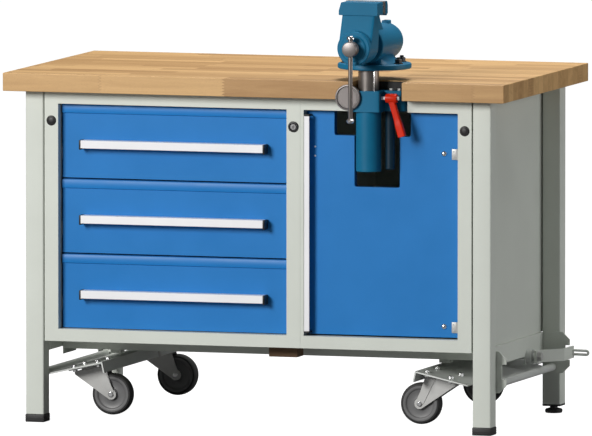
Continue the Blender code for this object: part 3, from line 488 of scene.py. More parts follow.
def makeStudio():
    azimuth, elevation = math.radians(studio["azimuth"]), math.radians(studio["elevation"])
    flat = math.cos(elevation)
    away = np.array([math.sin(azimuth) * flat, -math.cos(azimuth) * flat, math.sin(elevation)])
    lens = bpy.data.cameras.new("studioCamera")
    lens.sensor_width = 36
    lens.lens = 36 * studio["distance"] / studio["width"]
    lens.clip_end = 200
    camera = bpy.data.objects.new("studioCamera", lens)
    aimed(camera, tuple(np.array(studio["target"]) + away * studio["distance"]), studio["target"])
    scene.camera = camera
    areaLight("keyLight", (-3.0, -7.4, 3.4), (0, 0, 0.45), 2.6, studio["key"], (1.0, 0.99, 0.97))
    areaLight("sideLight", (4.2, 1.0, 1.3), (0.5, 0.1, 0.5), 1.8, studio["side"])
    areaLight("topLight", (0.3, 0.9, 3.4), (0, 0.1, 0.7), 2.0, studio["top"])
    # The camera sees a white room, and the object is lit by a dimmer one.
    world = bpy.data.worlds.new("studioWorld")
    world.use_nodes = True
    scene.world = world
    tree = world.node_tree
    tree.nodes.clear()
    seen = addNode(tree, "ShaderNodeBackground", {"Color": (1, 1, 1, 1), "Strength": 1.0}).outputs[0]
    lit = {"Color": (0.98, 0.99, 1, 1), "Strength": studio["ambient"]}
    lit = addNode(tree, "ShaderNodeBackground", lit).outputs[0]
    byCamera = addNode(tree, "ShaderNodeLightPath").outputs["Is Camera Ray"]
    mixed = addNode(tree, "ShaderNodeMixShader", {0: byCamera, 1: lit, 2: seen}).outputs[0]
    addNode(tree, "ShaderNodeOutputWorld", {0: mixed})
    scene.view_settings.view_transform = "Standard"
    ground = bpy.data.meshes.new("floor")
    reach, drop = 60.0, -0.0005
    corners = [(-reach, -reach, drop), (reach, -reach, drop), (reach, reach, drop), (-reach, reach, drop)]
    ground.from_pydata(corners, [], [(0, 1, 2, 3)])
    floor = bpy.data.objects.new("floor", ground)
    scene.collection.objects.link(floor)
    pale, tree, shader = startMaterial("pale floor")
    byCamera = addNode(tree, "ShaderNodeLightPath").outputs["Is Camera Ray"]
    glow = mathNode(tree, "MULTIPLY", byCamera, studio["floorGlow"])
    feed(tree, shader, {"Base Color": (0.22, 0.22, 0.22, 1), "Roughness": 0.9})
    feed(tree, shader, {"Emission Color": (1, 1, 1, 1), "Emission Strength": glow})
    ground.materials.append(pale)


makeStudio()
print("studio set")


def span(node):
    low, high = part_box(node)
    return np.array(low, float), np.array(high, float)


def middle(node):
    low, high = span(node)
    return (low + high) / 2


worktopSizes = {"leftOfRam": 0.006, "rightOfLift": 0.004, "notch": 0.066, "edge": 0.0016}


def makeWorktop():
    low, high = span("worktop")
    x0 = span("lift_ram")[0][0] - worktopSizes["leftOfRam"]
    x1 = span("lift_body")[1][0] + worktopSizes["rightOfLift"]
    deep = low[1] + worktopSizes["notch"]
    outline = [(low[0], low[1]), (x0, low[1]), (x0, deep), (x1, deep), (x1, low[1]), (high[0], low[1]),
        (high[0], high[1]), (low[0], high[1])]
    piece("beechTop", [carried(outline, "z", low[2], high[2])], "beech", "bench", ("worktop",),
        bevel=worktopSizes["edge"])


legSizes = {"corner": 0.0035, "edge": 0.0006, "capCorner": 0.0018, "ribProud": 0.0002, "ribHigh": 0.0012}


def makeLegs():
    for side in ("left", "right"):
        for end in ("front", "back"):
            low, high = span(f"leg_{end}_{side}")
            outline = roundedOutline(low[:2], high[:2], legSizes["corner"], 6)
            piece(f"tube_{end}_{side}", [carried(outline, "z", low[2], high[2])], "greyPaint", "bench",
                (f"leg_{end}_{side}",), bevel=legSizes["edge"])
            capLow, capHigh = span(f"foot_cap_{end}_{side}")
            shell = softBox(capLow, (capHigh[0], capHigh[1], low[2] - 0.0003), legSizes["capCorner"])
            ribLow, ribHigh = capLow[:2] - legSizes["ribProud"], capHigh[:2] + legSizes["ribProud"]
            heights = np.linspace(capLow[2] + 0.004, low[2] - 0.0045, 3 if end == "front" else 1)
            ribs = [softBox((*ribLow, z), (*ribHigh, z + legSizes["ribHigh"]), 0.0005) for z in heights]
            piece(f"footCap_{end}_{side}", [shell, *ribs], "blackPlastic", "bench", (f"foot_cap_{end}_{side}",))
    for side in ("left", "right"):
        low, high = span(f"levelling_foot_{side}")
        x, y, _ = middle(f"levelling_foot_{side}")
        r = (high[0] - low[0]) / 2
        pad = [(0, 0), (r - 0.0015, 0), (r, 0.0015), (r, 0.008), (r - 0.0015, 0.0097), (0.0125, 0.0115),
            (0.0075, 0.0118), (0.006, 0.0125), (0.006, 0.0165), (0, 0.0165)]
        flats = hexBar((x, y), 0.017, "z", 0.0113, 0.0163)
        grips = []
        for t in np.arange(20) * math.pi / 10:
            gripX, gripY = x + (r - 0.0008) * math.cos(t), y + (r - 0.0008) * math.sin(t)
            grips.append(softBox((gripX - 0.0012, gripY - 0.0012, 0.0025), (gripX + 0.0012, gripY + 0.0012, 0.0078),
                0.0005, 1))
        piece(f"levellingPad_{side}", [spun(pad, "z", (x, y, 0)), flats, *grips], "blackPlastic", f"foot_{side}",
            (f"levelling_foot_{side}",))


def makeCabinets():
    for node in ("drawer_cabinet", "door_cabinet", "cupboard_shelf"):
        softened(node, "greyPaint", "bench", 0.0009)
    for k in (1, 2, 3):
        softened(f"drawer_tray_{k}", "greyPaint", f"drawer_{k}", 0.0006)
    for side in ("left", "right"):
        softened(f"side_beam_{side}", "greyPaint", "bench", 0.0008)
    for end in ("front", "back"):
        softened(f"lever_bracket_{end}", "greyPaint", "bench", 0.0012)
        softened(f"cross_beam_{end}", "greyPaint", "bench", 0.0008)
    for side in ("left", "right"):
        low, high = span(f"cover_plug_{side}")
        x, _, z = middle(f"cover_plug_{side}")
        r = (high[0] - low[0]) / 2
        dome = [(0, -0.003), (0.0035, -0.0029), (0.0068, -0.0024), (0.008, -0.0017), (0.0086, -0.0021),
            (0.0104, -0.0017), (r, -0.0003), (0.0098, 0.001), (0.0098, 0.018), (0, 0.018)]
        piece(f"plug_{side}", [spun(dome, "y", (x, 0, z), 40, span("drawer_cabinet")[0][1])], "blackPlastic", "bench",
            (f"cover_plug_{side}",))


def makeDrawers():
    for k in (1, 2, 3):
        body = f"drawer_{k}"
        low, high = span(f"drawer_front_{k}")
        lip, y1, z0, z1 = low[1], high[1], low[2], high[2]
        face = lip + 0.004
        band = z1 - 0.021
        outline = [(face, z0), (face, band - 0.0015), (lip + 0.0004, band), (lip, band + 0.0015), (lip, z1 - 0.0042),
            (lip + 0.0012, z1 - 0.0012), (lip + 0.0042, z1), (y1, z1), (y1, z1 - 0.0016), (face + 0.0016, z1 - 0.0016),
            (face + 0.0016, z0 + 0.0016), (y1, z0 + 0.0016), (y1, z0)]
        panel = carried(outline, "x", low[0], high[0])
        ends = [softBox((x, face + 0.0008, z0 + 0.0008), (x + 0.0016, y1, z1 - 0.0008), 0.0004,
            1) for x in (low[0] + 0.0001, high[0] - 0.0017)]
        piece(f"bluePanel_{k}", [panel, *ends], "bluePaint", body, (f"drawer_front_{k}",), bevel=0.0007)
        makeDrawerGrip(k, body, face)


gripSizes = {"drop": 0.006, "wall": 0.0022, "cap": 0.005, "edge": 0.0007}


def makeDrawerGrip(k, body, face):
    low, high = span(f"drawer_handle_{k}")
    low[2] -= gripSizes["drop"]
    high[2] -= gripSizes["drop"]
    z0, z1, y0 = low[2] + 0.0006, high[2] - 0.0006, low[1]
    wall, cap = gripSizes["wall"], gripSizes["cap"]
    outline = [(y0, z0), (y0 + wall, z0), (y0 + wall, z1 - wall), (face - 0.0004, z1 - wall), (face - 0.0004, z1),
        (y0, z1)]
    piece(f"grip_{k}", [carried(outline, "x", low[0] + 0.0045, high[0] - 0.0045)], "aluminium", body,
        (f"drawer_handle_{k}",), bevel=gripSizes["edge"])
    for end, x0, x1 in (("left", low[0], low[0] + cap), ("right", high[0] - cap, high[0])):
        web = softBox((x0, y0 + 0.0004, low[2] - 0.003), (x1, face - 0.0004, high[2]), 0.0014)
        rib = softBox((x0 + 0.0012, y0 - 0.0008, low[2] + 0.003), (x1 - 0.0012, y0 + 0.001, high[2] - 0.003), 0.0006)
        piece(f"gripCap_{k}_{end}", [web, rib], "blackPlastic", body)


def makeLock():
    x, _, z = middle("drawer_lock")
    y = span("drawer_lock")[0][1]
    ring = [(0.0088, 0.0016), (0.009, 0.0004), (0.0098, 0), (0.0116, 0.0004), (0.013, 0.0024), (0.013, 0.0037),
        (0.01, 0.0037), (0.0088, 0.0037), (0.0088, 0.0016)]
    piece("lockRing", [spun(ring, "y", (x, 0, z), 44, y)], "blackPlastic", "lock", ("drawer_lock",))
    core = [(0, 0.001), (0.0068, 0.001), (0.0084, 0.0022), (0.0084, 0.03), (0, 0.03)]
    piece("lockCore", [spun(core, "y", (x, 0, z), 40, y)], "chrome", "lock")
    slot = [(x - 0.0011, z - 0.004), (x + 0.0011, z - 0.004), (x + 0.0011, z + 0.004), (x - 0.0011, z + 0.004)]
    slot = carried(filleted(slot, 0.0008), "y", y + 0.0006, y + 0.0014)
    piece("lockKeyway", [slot], "blackPlastic", "lock")


doorSizes = {"corner": 0.007, "sheet": 0.0016, "rightGap": 0.0035}


def makeDoor():
    low, high = span("cupboard_door")
    high[0] -= doorSizes["rightGap"]
    ramX = middle("lift_ram")[0]
    shoulder, bottom = high[2] - 0.057, high[2] - 0.179
    r = doorSizes["corner"]
    a = (ramX - 0.096, ramX - 0.046, ramX + 0.0667, ramX + 0.094)
    corners = [(low[0], low[2]), (high[0], low[2]), (high[0], high[2]), (a[3], high[2]), (a[3], shoulder),
        (a[2], shoulder), (a[2], bottom), (a[1], bottom), (a[1], shoulder), (a[0], shoulder), (a[0], high[2]),
        (low[0], high[2])]
    radii = np.array([0.0012, 0.0012, 0.0012, 0.002, r, 0.002, r, r, 0.002, r, 0.002, 0.0012])
    outline = filleted(corners, radii, 5)
    skin = carried(outline, "y", low[1], low[1] + doorSizes["sheet"])
    piece("doorSkin", [skin], "bluePaint", "door", ("cupboard_door",), bevel=0.0006)
    # The flange behind the skin is a wall that follows the same outline.
    edge = np.roll(outline, -1, axis=0) - np.roll(outline, 1, axis=0)
    normal = np.stack([-edge[:, 1], edge[:, 0]], axis=-1) / np.linalg.norm(edge, axis=1)[:, None]
    inner = outline + normal * doorSizes["sheet"]
    outer = outline + normal * 0.0001
    walls = ((outer, low[1] + 0.0012), (outer, high[1]), (inner, high[1]), (inner, low[1] + 0.0012))
    ring = np.stack([turnTo("y", wall[:, 0], wall[:, 1], y) for wall, y in walls])
    piece("doorFlange", [gridShape(ring, closeAcross=True, closeAlong=True)], "bluePaint", "door")
    stiff = softBox((ramX - 0.02, low[1] + 0.001, low[2] + 0.04), (ramX + 0.02, low[1] + 0.009, bottom - 0.05), 0.0015)
    piece("doorStiffener", [stiff], "bluePaint", "door")
    y = low[1]
    head = [(0, -0.0052), (0.003, -0.0048), (0.0056, -0.0033), (0.0071, -0.001), (0.0072, 0.001), (0, 0.001)]
    for name, z in (("upper", high[2] - 0.0945), ("lower", low[2] + 0.0265)):
        piece(f"domeHead_{name}", [spun(head, "y", (high[0] - 0.034, 0, z), 28, y)], "chrome", "door")
    rivet = [(0, -0.002), (0.0014, -0.0017), (0.0024, -0.0004), (0.0024, 0.001), (0, 0.001)]
    rivets = [spun(rivet, "y", (low[0] + 0.0195, 0, high[2] - down), 16, y) for down in (0.0852, 0.1072)]
    piece("rivets", rivets, "aluminium", "door")
    makeDoorGrip()
    for name in ("lower", "upper"):
        makeHinge(name)


def makeDoorGrip():
    low, high = span("door_handle")
    x0, x1, y0, y1 = low[0], high[0] - 0.0005, low[1], high[1]
    wall, cap = gripSizes["wall"], gripSizes["cap"]
    outline = [(x0, y0), (x1, y0), (x1, y0 + wall), (x0 + wall, y0 + wall), (x0 + wall, y1), (x0, y1)]
    piece("uprightGrip", [carried(outline, "z", low[2] + 0.0045, high[2] - 0.0045)], "uprightAluminium", "door",
        ("door_handle",), bevel=gripSizes["edge"])
    caps = [softBox((x0, y0 - 0.0001, z), (high[0], y1, z + cap), 0.0012) for z in (low[2], high[2] - cap)]
    piece("uprightGripCaps", caps, "blackPlastic", "door")


def makeHinge(name):
    low, high = span(f"hinge_leaf_{name}")
    low[0] -= doorSizes["rightGap"]
    high[0] -= doorSizes["rightGap"]
    x, y = high[0] - 0.0028, low[1] + 0.0028
    z0, z1 = low[2], high[2]
    plate = softBox((low[0], high[1] - 0.002, z0), (x, high[1], z1), 0.0006)
    neck = softBox((x - 0.003, y - 0.0004, z0), (x + 0.0003, high[1] - 0.0002, z1), 0.0008)
    knuckle = spun([(0.0016, z0), (0.0024, z0), (0.0028, z0 + 0.0004), (0.0028, z1 - 0.0004), (0.0024, z1),
        (0.0016, z1), (0.0016, z0)], "z", (x, y, 0), 24)
    head = [(0, -0.003), (0.0014, -0.0028), (0.002, -0.0019), (0, -0.0015)]
    heads = [spun(head, "y", (low[0] + 0.0045, 0, z), 16, high[1]) for z in (z0 + 0.006, z1 - 0.006)]
    piece(f"hinge_{name}", [plate, neck, knuckle, *heads], "zinc", "door", (f"hinge_leaf_{name}",))


def lift():
    low, high = span("lift_ram")
    return *middle("lift_ram")[:2], (high[0] - low[0]) / 2


def makeLift():
    x, y, ramRadius = lift()
    low, high = span("lift_body")
    woodLow, woodHigh = span("worktop")
    top, block = woodHigh[2] - 0.022, woodHigh[2] - 0.072
    r = 0.03
    z0 = low[2]
    tube = spun([(ramRadius + 0.0006, z0 + 0.0008), (r - 0.0008, z0), (r, z0 + 0.001), (r, block + 0.004),
        (ramRadius + 0.0006, block + 0.004), (ramRadius + 0.0006, z0 + 0.0008)], "z", (x, y, 0), 56)
    collar = carried(filleted([(x - r + 0.001, y - r - 0.003), (x + r + 0.007, y - r - 0.003),
        (x + r + 0.007, y + 0.01), (x + r + 0.003, y + r), (x - r + 0.001, y + r)], 0.004), "z", block, top)
    ear = carried(filleted([(x + r, y + 0.002), (x + 0.078, y + 0.002), (x + 0.087, y + 0.008),
        (x + 0.087, y + r - 0.001), (x + r, y + r - 0.001)], 0.003), "z", block + 0.0006, top - 0.0006)
    spring = spun([(0, z0 + 0.004), (0.0095, z0 + 0.004), (0.011, z0 + 0.006), (0.011, block + 0.002),
        (0, block + 0.002)], "z", (x + 0.0475, y + 0.018, 0), 32)
    arm = softBox((x - 0.045, y + r - 0.006, block + 0.012), (x + 0.085, y + 0.15, woodLow[2] - 0.0006), 0.002)
    tab = softBox((x - 0.056, low[1] + 0.0001, block + 0.016), (x - r + 0.004, woodLow[1] - 0.0004, top - 0.012),
        0.0012)
    piece("liftBody", [tube, collar, ear, arm, tab], "petrolPaint", "bench", ("lift_body",), bevel=0.0012)
    # The spring tube gets the darkened petrol enamel: its colour is painted shade, not a darker paint.
    piece("springTube", [spring], "petrolInPaintedShade", "bench", bevel=0.001)
    # Black sheets on the back and right walls of the worktop's notch, in the black tread finish: painted shade where
    # the notch falls dark behind the lift.
    y0, z0, z1 = woodLow[1], woodLow[2] + 0.001, woodHigh[2] - 0.003
    notchBackShade = softBox((x - ramRadius - 0.004, y0 + 0.064, z0), (x + 0.0905, y0 + 0.0658, z1), 0.0006)
    side = softBox((x + 0.089, y0 + 0.0015, z0), (x + 0.0906, y0 + 0.065, z1), 0.0006)
    piece("notchShadeSheet", [notchBackShade, side], "tread", "bench")
    bolts = [hexBar((x + dx, y + 0.0155), 0.01, "z", top - 0.0004, top + 0.0045) for dx in (0.052, 0.072)]
    piece("liftBolts", bolts, "zinc", "bench", bevel=0.0006)
    low, high = span("lift_ram")
    ram = spun([(0, low[2]), (ramRadius - 0.0015, low[2]), (ramRadius, low[2] + 0.0015), (ramRadius, high[2]),
        (0, high[2])], "z", (x, y, 0), 64)
    piece("ramTube", [ram], "steel", "ram", ("lift_ram",))
    key = softBox((x + 0.0182, y - 0.019, low[2] + 0.02), (x + 0.0208, y - 0.016, high[2] - 0.0005), 0.0008)
    piece("ramGuideStrip", [key], "chrome", "ram")
    makeSideCap()


def makeSideCap():
    low, high = span("side_cap")
    x, _, z = middle("side_cap")
    y0, y1, r = low[1], high[1], (high[0] - low[0]) / 2
    rim = [(0, y0 + 0.0022), (0.0225, y0 + 0.0022), (0.0235, y0 + 0.003), (0.025, y0 + 0.003), (0.0262, y0 + 0.0008),
        (0.0275, y0), (0.0295, y0 + 0.0002), (r, y0 + 0.002), (r, y1), (0, y1)]
    piece("roundCover", [spun(rim, "y", (x, 0, z), 64)], "lathedSteel", "bench", ("side_cap",))


clampLever = {"gripWide": 0.0094, "neckWide": 0.008}


def makeClampLever():
    x, y, _ = lift()
    worktop = span("worktop")[1][2]
    pin = np.array([x + 0.03, y - 0.015, worktop - 0.039])
    hub = [(0, 0.0175), (0.0092, 0.0175), (0.0108, 0.0188), (0.0112, 0.024), (0.0112, 0.0425), (0.0098, 0.0455),
        (0, 0.046)]
    start = pin + np.array([0.031, 0, -0.002])
    end = pin + np.array([0.058, 0, -0.09])
    # The arm swells from its neck to its grip: a flattened ring along a straight line, wider at the end.
    t = np.concatenate([[0], np.linspace(0, 1, 22), [1.012]])
    centre = start + (end - start) * t[:, None]
    direction = (end - start) / np.linalg.norm(end - start)
    side = np.array([-direction[2], 0, direction[0]])
    grip = 1 / (1 + np.exp(-(t - 0.62) * 30))
    wide = clampLever["neckWide"] * (1 - 0.1 * t) * (1 - grip) + clampLever["gripWide"] * grip
    wide[-1] *= 0.86
    wide[0] *= 0.8
    squareC, squareS = squaredCircle(28, 0.42)
    ring = side * squareC[:, None] + np.array([0, 0.82, 0]) * squareS[:, None]
    arm = capped(centre[:, None] + wide[:, None, None] * ring)
    piece("redLever", [spun(hub, "x", pin, 32), arm], "redPlastic", "clamp", ("clamp_lever",))
    stud = [(0, -0.0008), (0.0044, -0.0008), (0.0044, 0.05), (0.0034, 0.0509), (0, 0.0509)]
    piece("leverStud", [spun(stud, "x", pin, 24)], "aluminium", "clamp")


vice = {"barrel": 0.044, "boss": 0.041, "head": 0.048}


def makeVice():
    x, y, _ = lift()
    footLow, footHigh = span("vice_foot")
    z = span("vice_screw")[1][2] - 0.018
    _, (_, back, top) = span("vice_body")
    r, under, base = (footHigh[0] - footLow[0]) / 2, footLow[2], footHigh[2]
    foot = [(0, under), (r - 0.0025, under), (r, under + 0.0025), (r, base - 0.0035), (r - 0.001, base - 0.0012),
        (r - 0.0035, base), (0.06, base), (0, base)]
    piece("viceFoot", [spun(foot, "z", (x, (footLow[1] + footHigh[1]) / 2, 0), 72)], "petrolPaint", "vice",
        ("vice_foot",))
    front, b = y - 0.026, vice["barrel"]
    barrel = [(0.0278, front), (b - 0.002, front), (b, front + 0.002), (b, back - 0.024), (b - 0.003, back - 0.012),
        (b - 0.009, back - 0.004), (b - 0.017, back), (0, back), (0, back - 0.008), (0.0278, back - 0.01),
        (0.0278, front)]
    column = filleted([(y - 0.026, z - 0.01), (y - 0.026, top - 0.032), (y - 0.001, top - 0.032),
        (y + 0.02, z + 0.048), (y + 0.05, z + 0.02), (y + 0.056, z - 0.01)], 0.006)
    head = filleted([(y - 0.019, top - 0.031), (y - 0.019, top - 0.0004), (y - 0.006, top - 0.0004),
        (y - 0.0005, top - 0.01), (y - 0.0005, top - 0.03), (y - 0.012, top - 0.0355)], 0.0025)
    lug = softBox((x - 0.005, y + 0.118, z + 0.036), (x + 0.013, y + 0.141, z + 0.0498), 0.0025)
    shapes = [spun(barrel, "y", (x, 0, z), 64), carried(column, "x", x - 0.026, x + 0.026),
        carried(head, "x", x - vice["head"], x + vice["head"]), flare(x, y, base, z), lug]
    piece("viceBody", shapes, "petrolPaint", "vice", ("vice_body",), bevel=0.0014)
    plate = carried(filleted([(y - 0.0288, top - 0.03), (y - 0.0288, top - 0.0003), (y - 0.0188, top - 0.0003),
        (y - 0.0188, top - 0.03)], 0.0006, 2), "x", x - vice["head"] + 0.0006, x + vice["head"] - 0.0006)
    piece("rearJawPlate", [plate], "lathedSteel", "vice", bevel=0.0004)
    bolts = []
    washer = [(0, -0.0005), (0.011, -0.0005), (0.011, 0.002), (0, 0.002)]
    thread = [(0, 0.01), (0.0048, 0.01), (0.0048, 0.015), (0.004, 0.0158), (0, 0.0158)]
    for dx, dy in ((0.066, 0.026), (-0.066, 0.026), (0.054, 0.092), (-0.054, 0.092)):
        place = (x + dx, y + dy)
        bolts.append(spun(washer, "z", (*place, 0), 28, base))
        bolts.append(hexBar(place, 0.016, "z", base + 0.0018, base + 0.011))
        bolts.append(spun(thread, "z", (*place, 0), 20, base))
    piece("viceBolts", bolts, "blackPlastic", "vice", bevel=0.0006)
    makeSlidingJaw(x, y, z, top)
    makeViceScrew(x, z)


def flare(x, y, base, z):
    # Rounded rectangles stacked from the foot to the barrel, each wider by the cube of what height is left.
    t = np.linspace(0, 1, 14)
    widen = (1 - t) ** 3
    squareX, squareY = squaredCircle(48, 0.45)
    halfX, halfY = 0.031 + 0.023 * widen, 0.058 + 0.012 * widen
    height = base + 0.0003 + (z - 0.01 - base) * t
    return capped(turnTo("z", x + halfX[:, None] * squareX, y + 0.05 + halfY[:, None] * squareY, height[:, None]))


def makeSlidingJaw(x, y, z, top):
    low, high = span("vice_jaw")
    meet, r, h = y - 0.0298, vice["boss"], vice["head"]
    bossFront, faceLow, faceTop = low[1], y - 0.122, y - 0.082
    slide = [(0.0105, bossFront), (0.029, bossFront), (0.0325, bossFront + 0.0028), (0.0325, y - 0.08),
        (0.027, y - 0.075), (0.027, high[1] - 0.002), (0.025, high[1]), (0.0105, high[1]), (0.0105, bossFront)]
    # The front runs down from the head to the round boss: its half width follows the circle of the boss.
    t = np.linspace(0, 1, 26)
    height = (top - 0.0305) + (z - 0.0405 - (top - 0.0305)) * t
    frontY = faceTop + (faceLow - faceTop) * np.minimum(t / 0.78, 1)
    backY = meet - 0.014 - 0.012 * np.minimum(t / 0.7, 1)
    below = np.clip((z - height) / r, 0, 1)
    half = r * np.sqrt(np.maximum(1 - below**2, 0.0025))
    ringX = np.concatenate([[-1, -0.985, -0.93], np.linspace(-0.85, 0.85, 9), [0.93, 0.985, 1], [1, 0, -1]])
    ringY = np.concatenate([[0.16, 0.05, 0.012], np.zeros(9), [0.012, 0.05, 0.16], [1, 1, 1]])
    ringsY = frontY[:, None] + (backY - frontY)[:, None] * ringY
    front = capped(turnTo("z", x + half[:, None] * ringX, ringsY, height[:, None]))
    boss = [(0, faceLow - 0.0012), (r - 0.0025, faceLow - 0.0012), (r - 0.0004, faceLow + 0.001), (r, faceLow + 0.004),
        (r, meet - 0.03), (r - 0.003, meet - 0.026), (0, meet - 0.026)]
    headOutline = [(x - h, top - 0.031), (x - h, top - 0.02), (x - h + 0.0042, top - 0.006),
        (x - h + 0.0058, top - 0.0004), (x + h - 0.001, top - 0.0004), (x + h, top - 0.004), (x + h, top - 0.031)]
    head = filleted(headOutline, 0.0016, 3)
    shapes = [spun(slide, "y", (x, 0, z), 56), front, spun(boss, "y", (x, 0, z), 64),
        carried(head, "y", faceTop - 0.0038, meet - 0.0104)]
    piece("slidingJaw", shapes, "petrolPaint", "jaw", ("vice_jaw",), bevel=0.001)
    plate = carried(filleted([(meet - 0.0102, top - 0.0262), (meet - 0.0102, top - 0.0003), (meet, top - 0.0003),
        (meet, top - 0.0262)], 0.0006, 2), "x", x - h + 0.0006, x + h - 0.0006)
    piece("frontJawPlate", [plate], "lathedSteel", "jaw", bevel=0.0004)
    pin = [(0, -0.0004), (0.0028, -0.0002), (0.0032, 0.001), (0, 0.0012)]
    pin = spun(pin, "x", (x + (h - 0.0004) - 0.0004, meet - 0.0052, top - 0.013), 18)
    piece("jawPin", [pin], "chrome", "jaw")


def makeViceScrew(x, z):
    low, high = span("vice_screw")
    y0, y1 = low[1], high[1]
    head = [(0, y0), (0.015, y0), (0.017, y0 + 0.0008), (0.018, y0 + 0.0024), (0.018, y0 + 0.0225),
        (0.0165, y0 + 0.025), (0.0135, y0 + 0.026), (0.0135, y0 + 0.029), (0.01, y0 + 0.03)]
    turns = np.arange(0, (y1 - y0 - 0.05) / 0.004)
    ridges = np.stack([np.tile([0.0092, 0.01, 0.01, 0.0092], len(turns)), (y0 + 0.048 + turns[:,
        None] * 0.004 + np.array([0.0002, 0.0012, 0.0024, 0.0034])).reshape(-1)], axis=-1)
    profile = np.concatenate([head, [(0.01, y0 + 0.047)], ridges[ridges[:, 1] < y1 - 0.002], [(0.009, y1), (0, y1)]])
    piece("screwHead", [spun(profile, "y", (x, 0, z), 40)], "lathedSteel", "screw", ("vice_screw",))
    low, high = span("tommy_bar")
    y = (low[1] + high[1]) / 2
    knob, r = 0.009, 0.0053

    def ball(base, sign):
        return [(r * 0.95, base), (knob - 0.001, base + sign * 0.0016), (knob, base + sign * 0.004),
            (knob - 0.0006, base + sign * 0.0075), (knob - 0.003, base + sign * 0.0098)]

    bar = [(0, low[2])] + ball(low[2] + 0.0105, -1)[::-1] + [(r, low[2] + 0.0125),
        (r, high[2] - 0.0125)] + ball(high[2] - 0.0105, 1) + [(0, high[2])]
    piece("tommyBar", [spun(bar, "z", (x, y, 0), 32)], "steel", "tommy_bar", ("tommy_bar",))
    # Bright ends: rounded caps over the two balls.
    cap = np.array([(0.0001, 0.0001), (0.0058, 0.0001), (0.008, 0.0018), (0.0091, 0.0045), (0.0088, 0.008),
        (0.0066, 0.01), (0.0061, 0.01), (0.0001, 0.01)])
    above = (cap * (1, -1))[::-1] + (0, high[2])
    ends = [spun(cap + (0, low[2]), "z", (x, y, 0), 28), spun(above, "z", (x, y, 0), 28)]
    piece("tommyBarEnd", ends, "chrome", "tommy_bar")


castorSizes = {
    "half": 0.016,  # half a wheel's width
    "tilt": math.radians(12.8),
    "swivel": 0.125,  # from the hinge rod to the swivel
    "axle": 0.163,  # from the hinge rod to the axle
    "boltAcross": 0.011,
}


def hingeOf(side):
    x, _, z = middle(f"hinge_rod_{side}")
    return np.array([x, 0, z])


def makeCastors():
    for side, inward in (("left", 1), ("right", -1)):
        for end in ("front", "back"):
            makeWheel(f"{end}_{side}")
            makeFork(f"{end}_{side}", inward)
        makeCarriage(side, inward)


def makeWheel(place):
    centre = middle(f"castor_wheel_{place}")
    hub = [(0.0066, 0.0162), (0.0125, 0.0162), (0.014, 0.015), (0.0155, 0.0115), (0.019, 0.0108), (0.03, 0.0112),
        (0.0332, 0.0122), (0.0352, 0.0148), (0.0372, 0.0156), (0.0425, 0.0152)]
    hub = [(a, -b) for a, b in hub] + [(a, b) for a, b in reversed(hub)] + [(0.0066, -0.0162)]
    piece(f"wheelHub_{place}", [spun(hub, "y", centre, 64)], "greyPlastic", f"wheel_{place}",
        (f"castor_wheel_{place}",))
    tread = [(0.0405, 0.014), (0.0425, 0.0156), (0.0458, 0.015), (0.0484, 0.0122), (0.0497, 0.007), (0.05, 0.0)]
    tread = [(a, -b) for a, b in tread] + [(a, b) for a, b in reversed(tread[:-1])] + [(0.0405, -0.014)]
    piece(f"wheelTread_{place}", [spun(tread, "y", centre, 72)], "tread", f"wheel_{place}")


def makeFork(place, inward):
    axle = middle(f"castor_wheel_{place}")
    body = f"fork_{place}"
    tilt = -inward * castorSizes["tilt"]
    # Laid out level from the hinge rod, and then tilted with its carriage.
    pivot = hingeOf(place.split("_")[1])

    def levelled(dx, z):
        return pivot[0] + inward * dx, pivot[2] + z

    y = axle[1]
    half = castorSizes["half"] + 0.001
    plateLow = -0.0033 - 0.0035 - 0.003
    crown = plateLow - 0.004
    axleZ = -0.0033 - 0.0035 - 0.0785
    sx, ax = castorSizes["swivel"], castorSizes["axle"]
    rim = [(sx - 0.04, crown - 0.01), (sx - 0.04, crown - 0.0004), (sx + 0.036, crown - 0.0004),
        (sx + 0.04, crown - 0.008)]
    turn = np.arange(8) * math.pi / 7 - 2 * math.pi / 3
    boss = np.stack([ax + 0.013 * np.cos(turn), axleZ + 0.013 * np.sin(turn)], axis=-1)[::-1]
    cheek = np.concatenate([filleted(rim, 0.003, 2)[2:-2], boss])
    cheek = np.stack(levelled(cheek[:, 0], cheek[:, 1]), axis=-1)
    shapes = [carried(cheek, "y", start, start + 0.0025) for start in (y - half - 0.0025, y + half)]
    rib = filleted([(sx + 0.012, crown - 0.003), (sx + 0.034, crown - 0.003), (ax + 0.0095, axleZ + 0.004),
        (ax - 0.0095, axleZ + 0.001)], 0.003, 3)
    rib = np.stack(levelled(rib[:, 0], rib[:, 1]), axis=-1)
    shapes += [carried(rib, "y", start, start + 0.0018) for start in (y - half - 0.004, y + half + 0.0022)]
    x0, x1 = sorted((levelled(sx - 0.038, 0)[0], levelled(sx + 0.035, 0)[0]))
    shapes.append(softBox((x0, y - half - 0.001, pivot[2] + crown - 0.003), (x1, y + half + 0.001, pivot[2] + crown),
        0.0008))
    cx, cz = levelled(sx, plateLow)
    race = [(0, cz - 0.0003), (0.0235, cz - 0.0003), (0.0258, cz - 0.0018), (0.0258, cz - 0.0036),
        (0.0235, cz - 0.005), (0.0225, cz - 0.0072), (0, cz - 0.0074)]
    shapes.append(spun(race, "z", (cx, y, 0), 44))
    piece(f"fork_{place}_sheet", [tilted(s, pivot, tilt) for s in shapes], "zinc", body, (f"castor_fork_{place}",),
        bevel=0.0005)
    ends = half + 0.0065
    bolt = [(0, -ends), (0.005, -ends), (0.0062, -ends + 0.001), (0.0062, -half - 0.0022), (0.004, -half - 0.002),
        (0.004, half), (0.0062, half + 0.0022), (0.0062, ends - 0.001), (0.005, ends), (0, ends)]
    nut = hexBar((axle[0], axle[2]), 0.0115, "y", y - ends + 0.0005, y - half - 0.0022)
    nutBack = hexBar((axle[0], axle[2]), 0.0115, "y", y + half + 0.0022, y + ends - 0.0005)
    piece(f"axleBolt_{place}", [spun(bolt, "y", axle, 28), nut, nutBack], "chrome", body, bevel=0.0004)


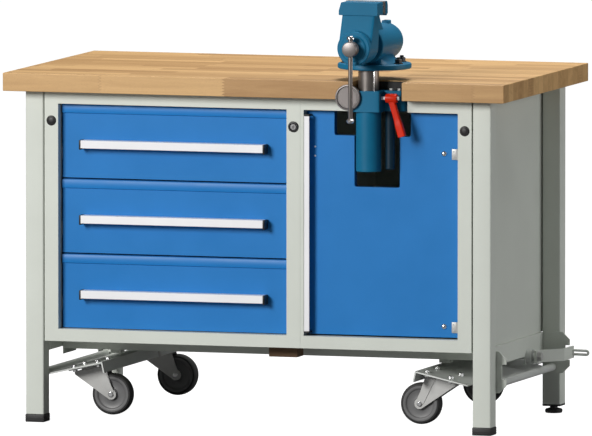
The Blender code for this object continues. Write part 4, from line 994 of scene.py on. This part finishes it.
def makeCarriage(side, inward):
    rodLow, rodHigh = span(f"hinge_rod_{side}")
    pivot = hingeOf(side)
    tilt = -inward * castorSizes["tilt"]
    softened(f"carriage_{side}", "brightZinc", f"carriage_{side}", 0.0006)
    bolts, across, head = [], castorSizes["boltAcross"], pivot[2] - 0.0033
    washer = [(0, -0.0003), (0.008, -0.0003), (0.008, 0.0012), (0, 0.0012)]
    for end in ("front", "back"):
        y = middle(f"castor_wheel_{end}_{side}")[1]
        for dx in (-0.03, 0.03):
            for dy in (-0.04, 0.04):
                x = pivot[0] + inward * (castorSizes["swivel"] + dx)
                bolts.append(tilted(spun(washer, "z", (x, y + dy, 0), 24, head), pivot, tilt))
                under = head - 0.0065
                for z0, z1 in ((head + 0.0008, head + 0.006), (under - 0.0045, under + 0.0002)):
                    bolts.append(tilted(hexBar((x, y + dy), across, "z", z0, z1), pivot, tilt))
    piece(f"carriageBolts_{side}", bolts, "chrome", f"carriage_{side}", bevel=0.0005)
    ends = [(0, rodLow[1]), (0.0052, rodLow[1]), (0.006, rodLow[1] + 0.001), (0.006, rodHigh[1] - 0.001),
        (0.0052, rodHigh[1]), (0, rodHigh[1])]
    piece(f"hingeBar_{side}", [spun(ends, "y", (pivot[0], 0, pivot[2]), 28)], "zinc", "bench", (f"hinge_rod_{side}",))


leverNut = {"y": 0.1975, "z": 0.149, "across": 0.019, "high": 0.0075, "edge": 0.0007}


def makeLever():
    softened("lever_arm", "greyPaint", "lever", 0.0008)
    softened("lever_shaft", "brightZinc", "lever", 0.0006)
    end, y, z = span("lever_shaft")[1][0], leverNut["y"], leverNut["z"]
    nut = hexBar((y, z), leverNut["across"], "x", end - 0.0002, end + leverNut["high"])
    washer = spun([(0, -0.0022), (0.013, -0.0022), (0.013, 0), (0, 0)], "x", (0, y, z), 32, end)
    piece("leverNut", [nut, washer], "zinc", "lever", bevel=leverNut["edge"])


makeWorktop()
makeLegs()
print("top and legs made")
makeCabinets()
makeDrawers()
makeLock()
makeDoor()
print("cabinets made")
makeLift()
makeClampLever()
makeVice()
print("vice made")
makeCastors()
makeLever()
print("castors and lever made")
